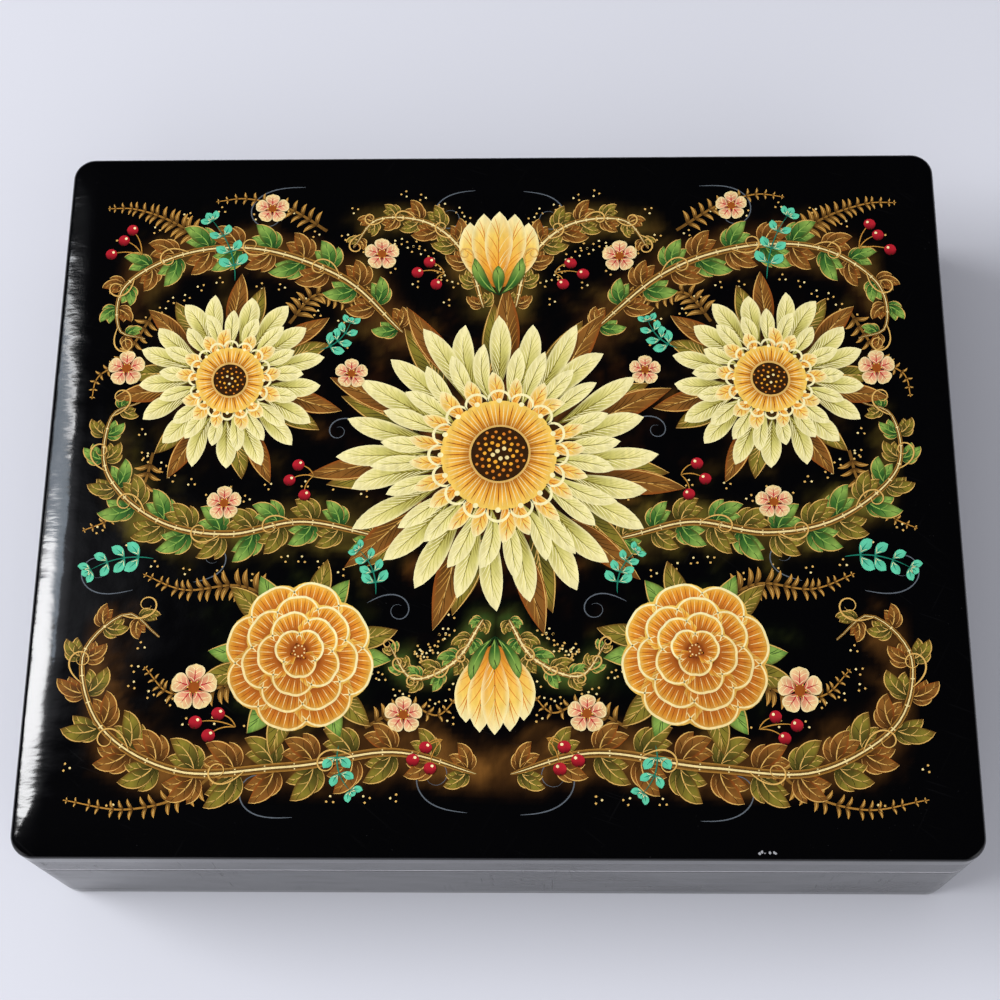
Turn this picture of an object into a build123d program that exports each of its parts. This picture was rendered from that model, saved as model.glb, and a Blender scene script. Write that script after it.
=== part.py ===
"""Hinged lacquer box of papier-mache, made of wound wall rings, pressed boards and two pinned hinges.

The frame has its origin on the table under the middle of the box, +X to the right, +Y to the hinged back
and +Z up. Every size is in millimetres.
"""

import os
from math import radians, tan

from build123d import *

# Outside of the closed box
box_width = 220.0
box_depth = 180.0
seam_height = 33.0
lid_rim_height = 11.0
lid_board_thickness = 6.0
corner_radius = 5.5

# Wound walls and pressed boards
wall_thickness = 5.0
inner_corner_radius = 3.0
bottom_thickness = 4.0
lid_edge_radius = 1.3
lid_shoulder_width = 5.0
lid_shoulder_drop = 0.6
foot_edge_radius = 1.0
seam_edge_radius = 0.4
least_edge_land = 0.2

# Inner sleeve, whose top stands above the seam as a neck for the lid
sleeve_thickness = 2.0
sleeve_corner_radius = 1.2
neck_rise = 2.8
neck_clearance = 0.3
neck_lead_in = 0.5

# Two hinges let into the back wall
hinge_margin = 35.0
hinge_length = 30.0
hinge_inset = 2.0
knuckle_count = 5
knuckle_gap = 0.2
barrel_radius = 1.5
barrel_clearance = 0.3
pin_radius = 0.7
pin_clearance = 0.05
leaf_thickness = 0.8
leaf_clearance = 0.02
base_leaf_reach = 10.0
lid_leaf_cover = 0.8
bevel_angle = 51.0

# Nails that hold the hinge leaves
nails_per_leaf = 3
nail_end_margin = 4.0
base_nail_margin = 3.5
nail_radius = 0.5
nail_clearance = 0.02
nail_head_radius = 1.0
nail_head_height = 0.5
nail_head_edge = 0.3
nail_cover = 0.8

# Places worked out from the sizes above
lid_board_bottom = seam_height + lid_rim_height
box_height = lid_board_bottom + lid_board_thickness
half_depth = box_depth / 2
sleeve_top = seam_height + neck_rise
lid_wall_thickness = wall_thickness - neck_clearance
base_inner_y = half_depth - wall_thickness - sleeve_thickness
lid_inner_y = half_depth - lid_wall_thickness
hinge_x = box_width / 2 - hinge_margin - hinge_length / 2
hinge_y = half_depth - hinge_inset
hinge_places = {"left": -hinge_x, "right": hinge_x}
knuckle_pitch = hinge_length / knuckle_count
pocket_radius = barrel_radius + barrel_clearance
lid_leaf_reach = lid_rim_height - lid_leaf_cover
base_nail_z = seam_height - base_leaf_reach + base_nail_margin
lid_nail_z = (sleeve_top + lid_board_bottom) / 2


def block(width, depth, radius, low, high):
    """Upright block with rounded corners, between two heights."""
    return Pos(0, 0, low) * extrude(RectangleRounded(width, depth, radius), high - low)


def ring(inset, thickness, outer_radius, inner_radius, low, high):
    """Wall ring that lies inset from the box's outside all round."""
    width = box_width - 2 * inset
    depth = box_depth - 2 * inset
    outside = block(width, depth, outer_radius, low, high)
    inside = block(width - 2 * thickness, depth - 2 * thickness, inner_radius, low, high)
    return outside - inside


def rod(radius, length, x):
    """Round bar on the hinge axis, centred at x."""
    return Pos(x, hinge_y, seam_height) * Rot(0, 90, 0) * Cylinder(radius, length)


def top_face(solid):
    """Highest face of a solid."""
    return solid.faces().sort_by(Axis.Z)[-1]


def bottom_face(solid):
    """Lowest face of a solid."""
    return solid.faces().sort_by(Axis.Z)[0]


def rim_edges(face):
    """Outer edges of a face."""
    return face.outer_wire().edges()


def back_bevel(side):
    """Wedge along the back of the seam: side is 1 above the seam and -1 below it.

    Its tip is the hinge axis, so the two bevels meet and stop the lid when it is open.
    """
    reach = 2 * hinge_inset
    outline = Polyline(
        (hinge_y, seam_height),
        (hinge_y + reach, seam_height),
        (hinge_y + reach, seam_height + side * reach * tan(radians(bevel_angle))),
        close=True,
    )
    return extrude(Plane.YZ * make_face(outline), box_width / 2, both=True)


def nail_places(x):
    """Places along X of one leaf's row of nails."""
    first = x - hinge_length / 2 + nail_end_margin
    pitch = (hinge_length - 2 * nail_end_margin) / (nails_per_leaf - 1)
    return [first + pitch * i for i in range(nails_per_leaf)]


def nail_holes(x, z):
    """Holes along Y for one leaf's nails, through the whole back wall but its outer cover."""
    length = half_depth - nail_cover - base_inner_y
    hole = Rot(90, 0, 0) * Cylinder(nail_radius + nail_clearance, length)
    return [Pos(nail_x, base_inner_y + length / 2, z) * hole for nail_x in nail_places(x)]


def leaf_plate(x, side, reach, clearance):
    """Flat plate of a hinge leaf, from the hinge axis down into the base or up into the lid."""
    height = reach + clearance
    plate = Box(hinge_length + 2 * clearance, leaf_thickness + 2 * clearance, height)
    return Pos(x, hinge_y, seam_height + side * height / 2) * plate


def hinge_seat(x, side, reach, nail_z):
    """Everything that is cut out of a wall for one hinge leaf and its nails."""
    barrel = rod(pocket_radius, hinge_length + 2 * barrel_clearance, x)
    return [barrel, leaf_plate(x, side, reach, leaf_clearance), *nail_holes(x, nail_z)]


def hinge_leaf(x, side, reach, first_knuckle, nail_z):
    """Plate with every second knuckle of the barrel, bored for the pin and drilled for the nails."""
    leaf = leaf_plate(x, side, reach, 0)
    for i in range(knuckle_count):
        knuckle_x = x - hinge_length / 2 + knuckle_pitch * (i + 0.5)
        if i % 2 == first_knuckle:
            leaf += rod(barrel_radius, knuckle_pitch - knuckle_gap, knuckle_x)
        else:
            leaf -= rod(pocket_radius, knuckle_pitch + knuckle_gap, knuckle_x)
    leaf -= rod(pin_radius + pin_clearance, 2 * hinge_length, x)
    for hole in nail_holes(x, nail_z):
        leaf -= hole
    return leaf


def hinge_pin(x):
    """Wire that joins the knuckles of one hinge."""
    return rod(pin_radius, hinge_length, x)


def hinge_nails(x, inner_y, z):
    """Row of round-headed nails, with their heads on the inner face of the wall."""
    shank_length = half_depth - nail_cover - inner_y
    shank = Pos(0, shank_length / 2, 0) * Rot(90, 0, 0) * Cylinder(nail_radius, shank_length)
    head = Pos(0, -nail_head_height / 2, 0) * Rot(90, 0, 0) * Cylinder(nail_head_radius, nail_head_height)
    crown_edge = head.edges().sort_by(Axis.Y)[0]
    nail = shank + fillet(crown_edge, min(nail_head_edge, nail_head_height - least_edge_land))
    return Compound([Pos(nail_x, inner_y, z) * nail for nail_x in nail_places(x)])


def bottom_board():
    """Pressed board under the base wall, with a softened foot edge."""
    board = block(box_width, box_depth, corner_radius, 0, bottom_thickness)
    return fillet(rim_edges(bottom_face(board)), min(foot_edge_radius, bottom_thickness - least_edge_land))


def base_wall():
    """Wound wall ring of the base, with the seats of both hinges in its back."""
    wall = ring(0, wall_thickness, corner_radius, inner_corner_radius, bottom_thickness, seam_height)
    wall = fillet(rim_edges(top_face(wall)), seam_edge_radius)
    wall -= back_bevel(-1)
    for x in hinge_places.values():
        for cut in hinge_seat(x, -1, base_leaf_reach, base_nail_z):
            wall -= cut
    return wall


def inner_sleeve():
    """Thin ring glued inside the base wall, standing above the seam as the lid's neck."""
    radii = (inner_corner_radius, sleeve_corner_radius)
    sleeve = ring(wall_thickness, sleeve_thickness, *radii, bottom_thickness, sleeve_top)
    sleeve = chamfer(rim_edges(top_face(sleeve)), min(neck_lead_in, sleeve_thickness - least_edge_land))
    for x in hinge_places.values():
        for hole in nail_holes(x, base_nail_z):
            sleeve -= hole
    return sleeve


def lid_rim():
    """Wound wall ring of the lid, a little wider inside than the neck."""
    radii = (corner_radius, inner_corner_radius + neck_clearance)
    rim = ring(0, lid_wall_thickness, *radii, seam_height, lid_board_bottom)
    rim = fillet(rim_edges(bottom_face(rim)), seam_edge_radius)
    rim -= back_bevel(1)
    for x in hinge_places.values():
        for cut in hinge_seat(x, 1, lid_leaf_reach, lid_nail_z):
            rim -= cut
    return rim


def lid_board():
    """Pressed board that carries the painting: flat, with a sloping shoulder inside its rounded edge."""
    board = block(box_width, box_depth, corner_radius, lid_board_bottom, box_height)
    width = min(lid_shoulder_width, corner_radius - least_edge_land)
    board = chamfer(rim_edges(top_face(board)), width, lid_shoulder_drop, reference=top_face(board))
    # By height, the shoulder's outer rim lies below its slanting corner edges and its crest.
    rim = board.edges().group_by(Axis.Z)[-3]
    most = min(lid_board_thickness - lid_shoulder_drop, width) - least_edge_land
    return fillet(rim, min(lid_edge_radius, most))


def all_parts():
    """Every piece of the box by its node name."""
    parts = {
        "bottom_board": bottom_board(),
        "base_wall": base_wall(),
        "inner_sleeve": inner_sleeve(),
        "lid_rim": lid_rim(),
        "lid_board": lid_board(),
    }
    for side, x in hinge_places.items():
        parts[f"{side}_hinge_base_leaf"] = hinge_leaf(x, -1, base_leaf_reach, 0, base_nail_z)
        parts[f"{side}_hinge_lid_leaf"] = hinge_leaf(x, 1, lid_leaf_reach, 1, lid_nail_z)
        parts[f"{side}_hinge_pin"] = hinge_pin(x)
        parts[f"{side}_hinge_base_nails"] = hinge_nails(x, base_inner_y, base_nail_z)
        parts[f"{side}_hinge_lid_nails"] = hinge_nails(x, lid_inner_y, lid_nail_z)
    return parts


os.makedirs("parts", exist_ok=True)
for node, piece in all_parts().items():
    export_step(piece, f"parts/{node}.step")
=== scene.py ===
"""Looks of a hinged lacquer box: black walls, a red inside, aged brass hinges and a painted lid.

The lid and its painting are laid out in millimetres, as a painter would, and become metres when a mesh is
made. The finishes and the studio are in metres.
"""

import logging
import math
from abc import ABC, abstractmethod
from dataclasses import dataclass, field
from enum import Enum, IntEnum
from functools import partial, reduce
from typing import Callable, Iterator, Optional, Sequence, Union

import bpy
import numpy as np
from mathutils import Matrix, Vector, noise


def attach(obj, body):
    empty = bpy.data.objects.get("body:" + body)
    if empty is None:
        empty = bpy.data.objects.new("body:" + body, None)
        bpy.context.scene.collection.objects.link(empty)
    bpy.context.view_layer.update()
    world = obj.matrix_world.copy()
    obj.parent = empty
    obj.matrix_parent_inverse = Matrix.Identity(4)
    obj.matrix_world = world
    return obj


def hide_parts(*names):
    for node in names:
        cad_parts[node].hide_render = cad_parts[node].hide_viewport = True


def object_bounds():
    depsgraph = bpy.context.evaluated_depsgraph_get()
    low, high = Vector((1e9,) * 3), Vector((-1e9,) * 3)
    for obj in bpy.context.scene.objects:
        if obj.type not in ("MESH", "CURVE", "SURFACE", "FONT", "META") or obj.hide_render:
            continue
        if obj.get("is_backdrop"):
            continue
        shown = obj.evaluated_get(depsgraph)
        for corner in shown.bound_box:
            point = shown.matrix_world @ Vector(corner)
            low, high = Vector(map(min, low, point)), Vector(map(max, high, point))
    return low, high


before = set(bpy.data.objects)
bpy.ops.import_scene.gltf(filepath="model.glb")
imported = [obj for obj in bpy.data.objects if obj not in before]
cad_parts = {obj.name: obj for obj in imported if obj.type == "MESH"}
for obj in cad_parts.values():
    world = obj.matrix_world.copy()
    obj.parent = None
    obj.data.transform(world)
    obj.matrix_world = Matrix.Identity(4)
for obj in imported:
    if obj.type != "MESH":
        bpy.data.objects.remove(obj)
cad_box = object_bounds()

log = logging.getLogger("lacquer_box")

MM = 0.001
TINY = 1e-9
SEAM = 0.033
PIGMENT = "pigment"
BAKE_MAP = "OFBake"
KNOT_STEPS = 16

# Waves of an unsteady hand: turn per millimetre across and up the lid, start and height.
SWAY = ((0.071, 0.043, 1.1, 1.0), (-0.13, 0.19, 0.0, 0.5))
LIFT = ((0.057, -0.083, 2.3, 1.0), (0.17, 0.11, 0.0, 0.5))

# Where the lid's rim starts and is full, in metres past its edge.
RIM_BAND = (-0.0105, -0.0045)
# Where the painted highlight along the seam edge fades, from the front of the box towards its middle, and how
# much of it goes.
SEAM_HIGHLIGHT_FADE = (-0.088, -0.02)
SEAM_HIGHLIGHT_LOST = 0.85

Tint = np.ndarray
Points = np.ndarray
Number = Union[float, np.ndarray]
Place = Sequence[float]
Stops = Sequence[tuple[float, "Pigment"]]
Colour = tuple[float, float, float]
Direction = tuple[float, float, float]
Socket = bpy.types.NodeSocket
Given = dict[str, Socket]


class Pigment(Enum):
    """Paints and lacquers of the workshop, written as sRGB."""

    LACQUER = "030304"
    LINING = "A81A12"
    CREAM = "EFE292"
    PALE_CREAM = "FBF0B4"
    GREEN_CREAM = "CDC46A"
    REED = "8C7F2E"
    YELLOW = "F6CE62"
    AMBER = "F0A634"
    ORANGE = "D9802A"
    RUST = "9A4E1C"
    TAN = "8E5E28"
    BROWN = "64401A"
    UMBER = "36200E"
    OLIVE = "5C5420"
    DARK_OLIVE = "28260E"
    OCHRE = "C08A3C"
    GOLD = "DDB060"
    PALE_GOLD = "F4DC98"
    LEAF = "3E6E2C"
    DARK_LEAF = "14301A"
    LIME = "8FB050"
    MINT = "62CCA4"
    DEEP_MINT = "1F7A62"
    RED = "B4222E"
    DARK_RED = "5A0C14"
    ROSE = "E89A78"
    SILVER = "5E656C"
    CHALK = "A2A3A7"

    @property
    def tint(self) -> Tint:
        """Linear red, green and blue, by the curve of the sRGB standard."""
        srgb = np.array([int(self.value[i : i + 2], 16) for i in (0, 2, 4)]) / 255
        return np.where(srgb <= 0.04045, srgb / 12.92, ((srgb + 0.055) / 1.055) ** 2.4)


class Side(Enum):
    """Half of the lid that a motif is painted on."""

    RIGHT = 1
    LEFT = -1


class Coat(IntEnum):
    """Level of each kind of motif: how many strokes may lie below it."""

    WASH = 0
    DOTS = 3
    FAINT_SCROLLS = 4
    FERNS = 5
    SCROLLS = 8
    WREATHS = 36
    BLOSSOMS = 40
    SPRAYS = 66
    GILDING = 78


def smooth(low: float, high: float, value: Number) -> np.ndarray:
    """Soft step from 0 at low to 1 at high."""
    share = np.clip((np.asarray(value, float) - low) / (high - low), 0, 1)
    return share * share * (3 - 2 * share)


def mix(first: Tint, second: Tint, share: Number) -> Tint:
    """Blend of two tints, or of two grids of them."""
    share = np.asarray(share, float)[..., None]
    return first * (1 - share) + second * share


def ramp(stops: Stops, share: np.ndarray) -> Tint:
    """Tints along a run of stops.

    Args:
        stops: places from 0 to 1 with their pigments.
        share: where the tints are wanted.

    Returns:
        One tint for each place.
    """
    places = [place for place, _ in stops]
    tints = np.array([pigment.tint for _, pigment in stops])
    return np.stack([np.interp(share, places, tints[:, i]) for i in range(3)], -1)


def even(points: Points, count: int) -> Points:
    """Spreads the points of a line evenly.

    Args:
        points: the line.
        count: number of points that are wanted.

    Returns:
        The same line with that many points.
    """
    steps = np.hypot(*np.diff(points, axis=0).T)
    run = np.concatenate([[0], np.cumsum(steps)])
    wanted = np.linspace(0, run[-1], count)
    return np.stack([np.interp(wanted, run, points[:, i]) for i in (0, 1)], -1)


def flow(knots: Sequence[Place], count: int) -> Points:
    """Smooth line through a few knots.

    Args:
        knots: places that the line passes.
        count: number of points on the line.

    Returns:
        Evenly spread points.
    """
    knot = np.asarray(knots, float)
    knot = np.vstack([2 * knot[0] - knot[1], knot, 2 * knot[-1] - knot[-2]])
    t = np.linspace(0, 1, KNOT_STEPS, endpoint=False)[:, None]
    runs = []
    for a, b, c, d in zip(knot, knot[1:], knot[2:], knot[3:]):
        square, cube = 2 * a - 5 * b + 4 * c - d, 3 * b - a - 3 * c + d
        runs.append(0.5 * (2 * b + (c - a) * t + square * t**2 + cube * t**3))
    runs.append(knot[-2:-1])
    return even(np.vstack(runs), count)


def bow(root: Place, tip: Place, bend: float, count: int) -> Points:
    """Line that bows to its left.

    Args:
        root: where it starts.
        tip: where it ends.
        bend: how far it bows, in millimetres.
        count: number of points.

    Returns:
        Points along the line.
    """
    root, tip = np.asarray(root, float), np.asarray(tip, float)
    run = tip - root
    left = np.array([-run[1], run[0]]) / max(np.hypot(*run), TINY)
    t = np.linspace(0, 1, count)[:, None]
    return root + run * t + left * bend * 4 * t * (1 - t)


def curl(root: Place, heading: float, length: float, turn: float, count: int = 44) -> Points:
    """Tendril that leaves its root along a heading and winds up tighter and tighter.

    Args:
        root: where it starts.
        heading: first direction in degrees.
        length: its length along the line.
        turn: degrees that it turns to the left in all.
        count: number of points.

    Returns:
        Points along the tendril.
    """
    tightening = 2.1
    share = np.linspace(0, 1, count)
    steps = polar((0, 0), length / (count - 1), heading + turn * share[1:] ** tightening)
    return np.vstack([root, np.asarray(root) + np.cumsum(steps, 0)])


def polar(centre: Place, radius: Number, angle: Number) -> Points:
    """Points at a distance and an angle in degrees from a centre."""
    turn = np.radians(angle)
    return np.stack([centre[0] + radius * np.cos(turn), centre[1] + radius * np.sin(turn)], -1)


def lefts(points: Points) -> Points:
    """Looks to the left of a line.

    Args:
        points: the line.

    Returns:
        A unit vector at each of its points.
    """
    along = np.gradient(points, axis=0)
    along /= np.maximum(np.hypot(*along.T), TINY)[:, None]
    return np.stack([-along[:, 1], along[:, 0]], -1)


def ahead(left: Points) -> Points:
    """Unit vector along a line, from the one to its left."""
    return np.array([left[1], -left[0]])


def swell(count: int, peak: float = 0.5, fullness: float = 1.0) -> np.ndarray:
    """Width of a brush stroke from 0 to 1 and back.

    Args:
        count: number of points.
        peak: share of the length at which the stroke is widest.
        fullness: below 1 the ends are blunter.

    Returns:
        One share of the width for each point.
    """
    t = np.linspace(0, 1, count) ** (math.log(0.5) / math.log(peak))
    return np.sin(np.pi * t).clip(0, 1) ** fullness


@dataclass
class Stroke:
    """One brush stroke: a thin film with a tint at each point of its grid."""

    places: np.ndarray
    tints: np.ndarray
    reach: np.ndarray
    run: np.ndarray


@dataclass
class PaintLayer:
    """Coat of paint on the lid, gathered stroke by stroke into one mesh."""

    name: str
    surface: float = 50.0
    first_lift: float = 0.012
    level_lift: float = 0.003
    least_width: float = 0.03
    wander: float = 0.35
    map_gap: float = 0.25
    map_slack: float = 1.05
    side: Side = Side.RIGHT
    strokes: list[Stroke] = field(default_factory=list)

    def hand(self, points: Points) -> Points:
        """Sets places down as an unsteady hand does, on the side that is being painted.

        Args:
            points: where they are meant to be.

        Returns:
            Where they come to lie.
        """
        x, y = points[..., 0] * self.side.value, points[..., 1]
        sway, lift = (
            sum(high * np.sin(across * x + up * y + start) for across, up, start, high in waves)
            for waves in (SWAY, LIFT)
        )
        return np.stack([x + self.wander * sway, y + self.wander * lift], -1)

    def stroke(self, spine: Points, width: Number, tints: Tint, level: float) -> None:
        """Lays down one stroke.

        Args:
            spine: middle line of the stroke.
            width: half width, all along or at each point.
            tints: one tint, one for each point, or a grid of points by columns.
            level: how many strokes may lie below it.
        """
        count = len(spine)
        tints = np.asarray(tints, float)
        if tints.ndim == 1:
            tints = np.broadcast_to(tints, (count, 2, 3))
        elif tints.ndim == 2:
            tints = np.broadcast_to(tints[:, None], (count, 2, 3))
        columns = tints.shape[1]
        half = np.maximum(np.broadcast_to(width, count), self.least_width)
        reach = half[:, None] * np.linspace(1, -1, columns)
        flat = self.hand(spine[:, None] + lefts(spine)[:, None] * reach[..., None])
        if self.side is Side.LEFT:
            flat, tints = flat[:, ::-1], tints[:, ::-1]
        height = np.full((count, columns, 1), self.surface + self.first_lift + self.level_lift * level)
        steps = np.hypot(*np.diff(spine, axis=0).T)
        run = np.concatenate([[0], np.cumsum(steps)])
        self.strokes.append(Stroke(np.concatenate([flat, height], -1), tints, reach - reach.min(), run))

    def line(self, spine: Points, width: float, pigment: Pigment, level: float, peak: float = 0.35) -> None:
        """Lays down one fine line of an even tint, thin at both ends."""
        self.stroke(spine, width * swell(len(spine), peak, 0.6), pigment.tint, level)

    def disc(self, centre: Place, radius: float, tints: Tint, level: float, count: int) -> None:
        """Lays down a round spot.

        Args:
            centre: its middle.
            radius: its radius.
            tints: any that a stroke can have.
            level: how many strokes may lie below it.
            count: number of points across it.
        """
        turn = np.linspace(0, math.pi, count)
        spine = np.stack([centre[0] - radius * np.cos(turn), np.full(count, centre[1])], -1)
        self.stroke(spine, radius * np.sin(turn), tints, level)

    def dot(self, centre: Place, radius: float, pigment: Pigment, level: float, count: int = 7) -> None:
        """Sets down a round dot of an even tint."""
        self.disc(centre, radius, pigment.tint, level, count)

    def map_places(self) -> list[tuple[float, float]]:
        """Packs the straightened strokes on shelves, longest first.

        Returns:
            The lower left corner of each stroke on the map, in millimetres.
        """
        sizes = [(s.reach.max() + self.map_gap, s.run[-1] + self.map_gap) for s in self.strokes]
        shelf_length = self.map_slack * math.sqrt(sum(wide * high for wide, high in sizes))
        corners: list[tuple[float, float]] = [(0.0, 0.0)] * len(sizes)
        x, y, shelf_height = self.map_gap, 0.0, 0.0
        for i in sorted(range(len(sizes)), key=lambda k: -sizes[k][1]):
            wide, high = sizes[i]
            if x + wide > shelf_length or shelf_height == 0:
                x, y, shelf_height = self.map_gap, y + shelf_height + self.map_gap, high
            corners[i] = (x, y)
            x += wide
        return corners

    def mesh(self) -> bpy.types.Mesh:
        """Joins all strokes.

        Returns:
            One mesh with their tints and their map.
        """
        corners = self.map_places()
        spots, loops, tints, maps = [], [], [], []
        start = 0
        for stroke, corner in zip(self.strokes, corners):
            rows, columns = stroke.tints.shape[:2]
            index = np.arange(rows * columns).reshape(rows, columns)
            sides = (index[:-1, :-1], index[:-1, 1:], index[1:, 1:], index[1:, :-1])
            quads = np.stack(sides, -1).reshape(-1)
            run = np.broadcast_to(stroke.run[:, None], stroke.reach.shape)
            place = np.stack([stroke.reach, run], -1) + corner
            spots.append(stroke.places.reshape(-1, 3))
            loops.append(start + quads)
            tints.append(stroke.tints.reshape(-1, 3)[quads])
            maps.append(place.reshape(-1, 2)[quads])
            start += rows * columns
        uv = np.concatenate(maps)
        mesh = bpy.data.meshes.new(self.name)
        mesh.vertices.add(start)
        mesh.vertices.foreach_set("co", (np.concatenate(spots) * MM).ravel())
        mesh.loops.add(len(uv))
        mesh.loops.foreach_set("vertex_index", np.concatenate(loops).astype(np.int32))
        mesh.polygons.add(len(uv) // 4)
        mesh.polygons.foreach_set("loop_start", np.arange(0, len(uv), 4, dtype=np.int32))
        mesh.update(calc_edges=True)
        colour = mesh.attributes.new(PIGMENT, "FLOAT_COLOR", "CORNER")
        rgba = np.concatenate([np.concatenate(tints), np.ones((len(uv), 1))], 1)
        colour.data.foreach_set("color", rgba.ravel())
        bake_map = mesh.uv_layers.new(name=BAKE_MAP)
        bake_map.data.foreach_set("uv", (uv / (uv.max() + self.map_gap)).ravel())
        return mesh


class NodeBench:
    """Adds and joins the nodes of one shader tree."""

    def __init__(self, tree: bpy.types.NodeTree) -> None:
        """Starts on a bare tree."""
        self.tree = tree
        tree.nodes.clear()

    def feed(self, socket: Socket, value: object) -> None:
        """Sets a socket, or joins another node to it.

        Args:
            socket: the socket.
            value: a plain value, a colour as an array, or the other node's socket.
        """
        if isinstance(value, Socket):
            self.tree.links.new(value, socket)
        elif isinstance(value, np.ndarray):
            socket.default_value = (*value, 1.0)
        else:
            socket.default_value = value

    def add(
        self, kind: str, settings: Optional[dict[str, object]] = None, **inputs: object
    ) -> bpy.types.Node:
        """Adds one node.

        Args:
            kind: Blender's name of the node, without ShaderNode.
            settings: the node's own choices.
            inputs: values or sockets by socket name, with _ for a space.

        Returns:
            The new node.
        """
        node = self.tree.nodes.new("ShaderNode" + kind)
        for name, value in (settings or {}).items():
            setattr(node, name, value)
        for name, value in inputs.items():
            self.feed(node.inputs[name.replace("_", " ")], value)
        return node

    def work_out(self, kind: str, operation: str, values: Sequence[object]) -> bpy.types.Node:
        """Adds a node that works something out.

        Args:
            kind: Blender's name of the node, without ShaderNode.
            operation: what it does.
            values: what it is fed, in order.

        Returns:
            The new node.
        """
        node = self.add(kind, {"operation": operation})
        for socket, value in zip(node.inputs, values):
            self.feed(socket, value)
        return node

    def sum(self, operation: str, *values: object) -> Socket:
        """Works out one number from up to three."""
        return self.work_out("Math", operation, values).outputs[0]

    def vector(self, operation: str, *values: object) -> Socket:
        """Works out a vector from up to three."""
        return self.work_out("VectorMath", operation, values).outputs["Vector"]

    def measure(self, operation: str, *values: object) -> Socket:
        """Works out a number from one or two vectors."""
        return self.work_out("VectorMath", operation, values).outputs["Value"]

    def product(self, *values: object) -> Socket:
        """Product of two or more numbers."""
        return reduce(lambda first, second: self.sum("MULTIPLY", first, second), values)

    def flip(self, mask: Socket) -> Socket:
        """0 where a mask is 1, and 1 where it is 0."""
        return self.sum("SUBTRACT", 1.0, mask)

    def apart(self, first: Socket, second: Socket) -> Socket:
        """Distance between two numbers."""
        return self.sum("ABSOLUTE", self.sum("SUBTRACT", first, second))

    def step(self, value: Socket, low: float, high: float) -> Socket:
        """Soft step of a number from 0 at low to 1 at high."""
        soft = {"interpolation_type": "SMOOTHSTEP"}
        return self.add("MapRange", soft, Value=value, From_Min=low, From_Max=high).outputs[0]

    def between(self, share: Socket, low: float, high: float) -> Socket:
        """Number from low to high, at a share of the way."""
        return self.add("MapRange", None, Value=share, To_Min=low, To_Max=high).outputs[0]

    def blend(self, share: object, first: object, second: object, way: str = "MIX") -> Socket:
        """Blends two colours.

        Args:
            share: how much of the second there is.
            first: the colour at a share of 0.
            second: the colour at a share of 1.
            way: Blender's name of the blend.

        Returns:
            The blended colour.
        """
        node = self.add("Mix", {"data_type": "RGBA", "blend_type": way})
        for place, value in ((0, share), (6, first), (7, second)):
            self.feed(node.inputs[place], value)
        return node.outputs[2]

    def place(self) -> Socket:
        """Place on the piece, which moves with it."""
        return self.add("TexCoord").outputs["Object"]

    def facing(self) -> Socket:
        """Way that the surface faces, which moves with the piece."""
        return self.add("TexCoord").outputs["Normal"]

    def axis(self, name: str, vector: Optional[Socket] = None) -> Socket:
        """One number of the place on the piece, or of another vector."""
        return self.add("SeparateXYZ", None, Vector=self.place() if vector is None else vector).outputs[name]

    def drawn(self, place: Optional[Socket] = None, **change: Direction) -> Socket:
        """Place on the piece, or another, scaled and turned so that noise over it runs in streaks."""
        return self.add("Mapping", None, Vector=self.place() if place is None else place, **change).outputs[0]

    def noise(self, scale: float, detail: float = 2.0, place: Optional[Socket] = None) -> Socket:
        """Cloudy noise from 0 to 1 over the piece, or over another place."""
        where = self.place() if place is None else place
        return self.add("TexNoise", None, Vector=where, Scale=scale, Detail=detail).outputs["Fac"]

    def patches(self, start: float, full: float, scale: float, detail: float = 2.0) -> Socket:
        """Soft-edged patches, which start and are full at two heights of noise over the piece."""
        return self.step(self.noise(scale, detail), start, full)

    def streaks(self, scale: Direction, detail: float = 2.0) -> Socket:
        """Noise that is drawn out along the directions with a low scale."""
        return self.noise(1.0, detail, self.drawn(Scale=scale))


def new_material(name: str) -> tuple[bpy.types.Material, NodeBench]:
    """Makes a material with a bare node tree.

    Args:
        name: its name.

    Returns:
        The material, and the bench for its nodes.
    """
    material = bpy.data.materials.new(name)
    material.use_nodes = True
    return material, NodeBench(material.node_tree)


def effect(
    name: str, inputs: dict[str, float], output: str, draw: Callable[[NodeBench, Given], Socket]
) -> bpy.types.NodeTree:
    """Makes a shader node group that puts out one value.

    Args:
        name: the group's name.
        inputs: its inputs with their usual values.
        output: name of its output.
        draw: adds the nodes and returns the socket to put out.

    Returns:
        The group, to be placed in each material that has the effect.
    """
    tree = bpy.data.node_groups.new(name, "ShaderNodeTree")
    for label, usual in inputs.items():
        socket = tree.interface.new_socket(label, in_out="INPUT", socket_type="NodeSocketFloat")
        socket.default_value = usual
    tree.interface.new_socket(output, in_out="OUTPUT", socket_type="NodeSocketFloat")
    bench = NodeBench(tree)
    entry = tree.nodes.new("NodeGroupInput")
    result = draw(bench, {label: entry.outputs[label] for label in inputs})
    tree.links.new(result, tree.nodes.new("NodeGroupOutput").inputs[0])
    return tree


def draw_ripple(bench: NodeBench, given: Given) -> Socket:
    """Height of the ripples left by brushing and polishing lacquer by hand.

    Args:
        bench: the group's nodes.
        given: the group's inputs by name.

    Returns:
        The height.
    """
    broad = bench.product(bench.noise(110.0, detail=1.0), given["Broad"])
    fine = bench.product(bench.noise(700.0), given["Fine"])
    return bench.sum("ADD", broad, fine)


def draw_smears(bench: NodeBench, given: Given) -> Socket:
    """Cloudy film that hands and dusters leave on an upright wall.

    Args:
        bench: the group's nodes.
        given: the group's inputs by name.

    Returns:
        Its mask.
    """
    cloud = bench.step(bench.streaks((26.0, 26.0, 40.0), detail=3.0), 0.4, 0.72)
    wiped = bench.step(bench.streaks((14.0, 14.0, 620.0)), 0.4, 0.7)
    return bench.product(cloud, bench.sum("MULTIPLY_ADD", wiped, 0.6, 0.5), given["Amount"])


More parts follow.
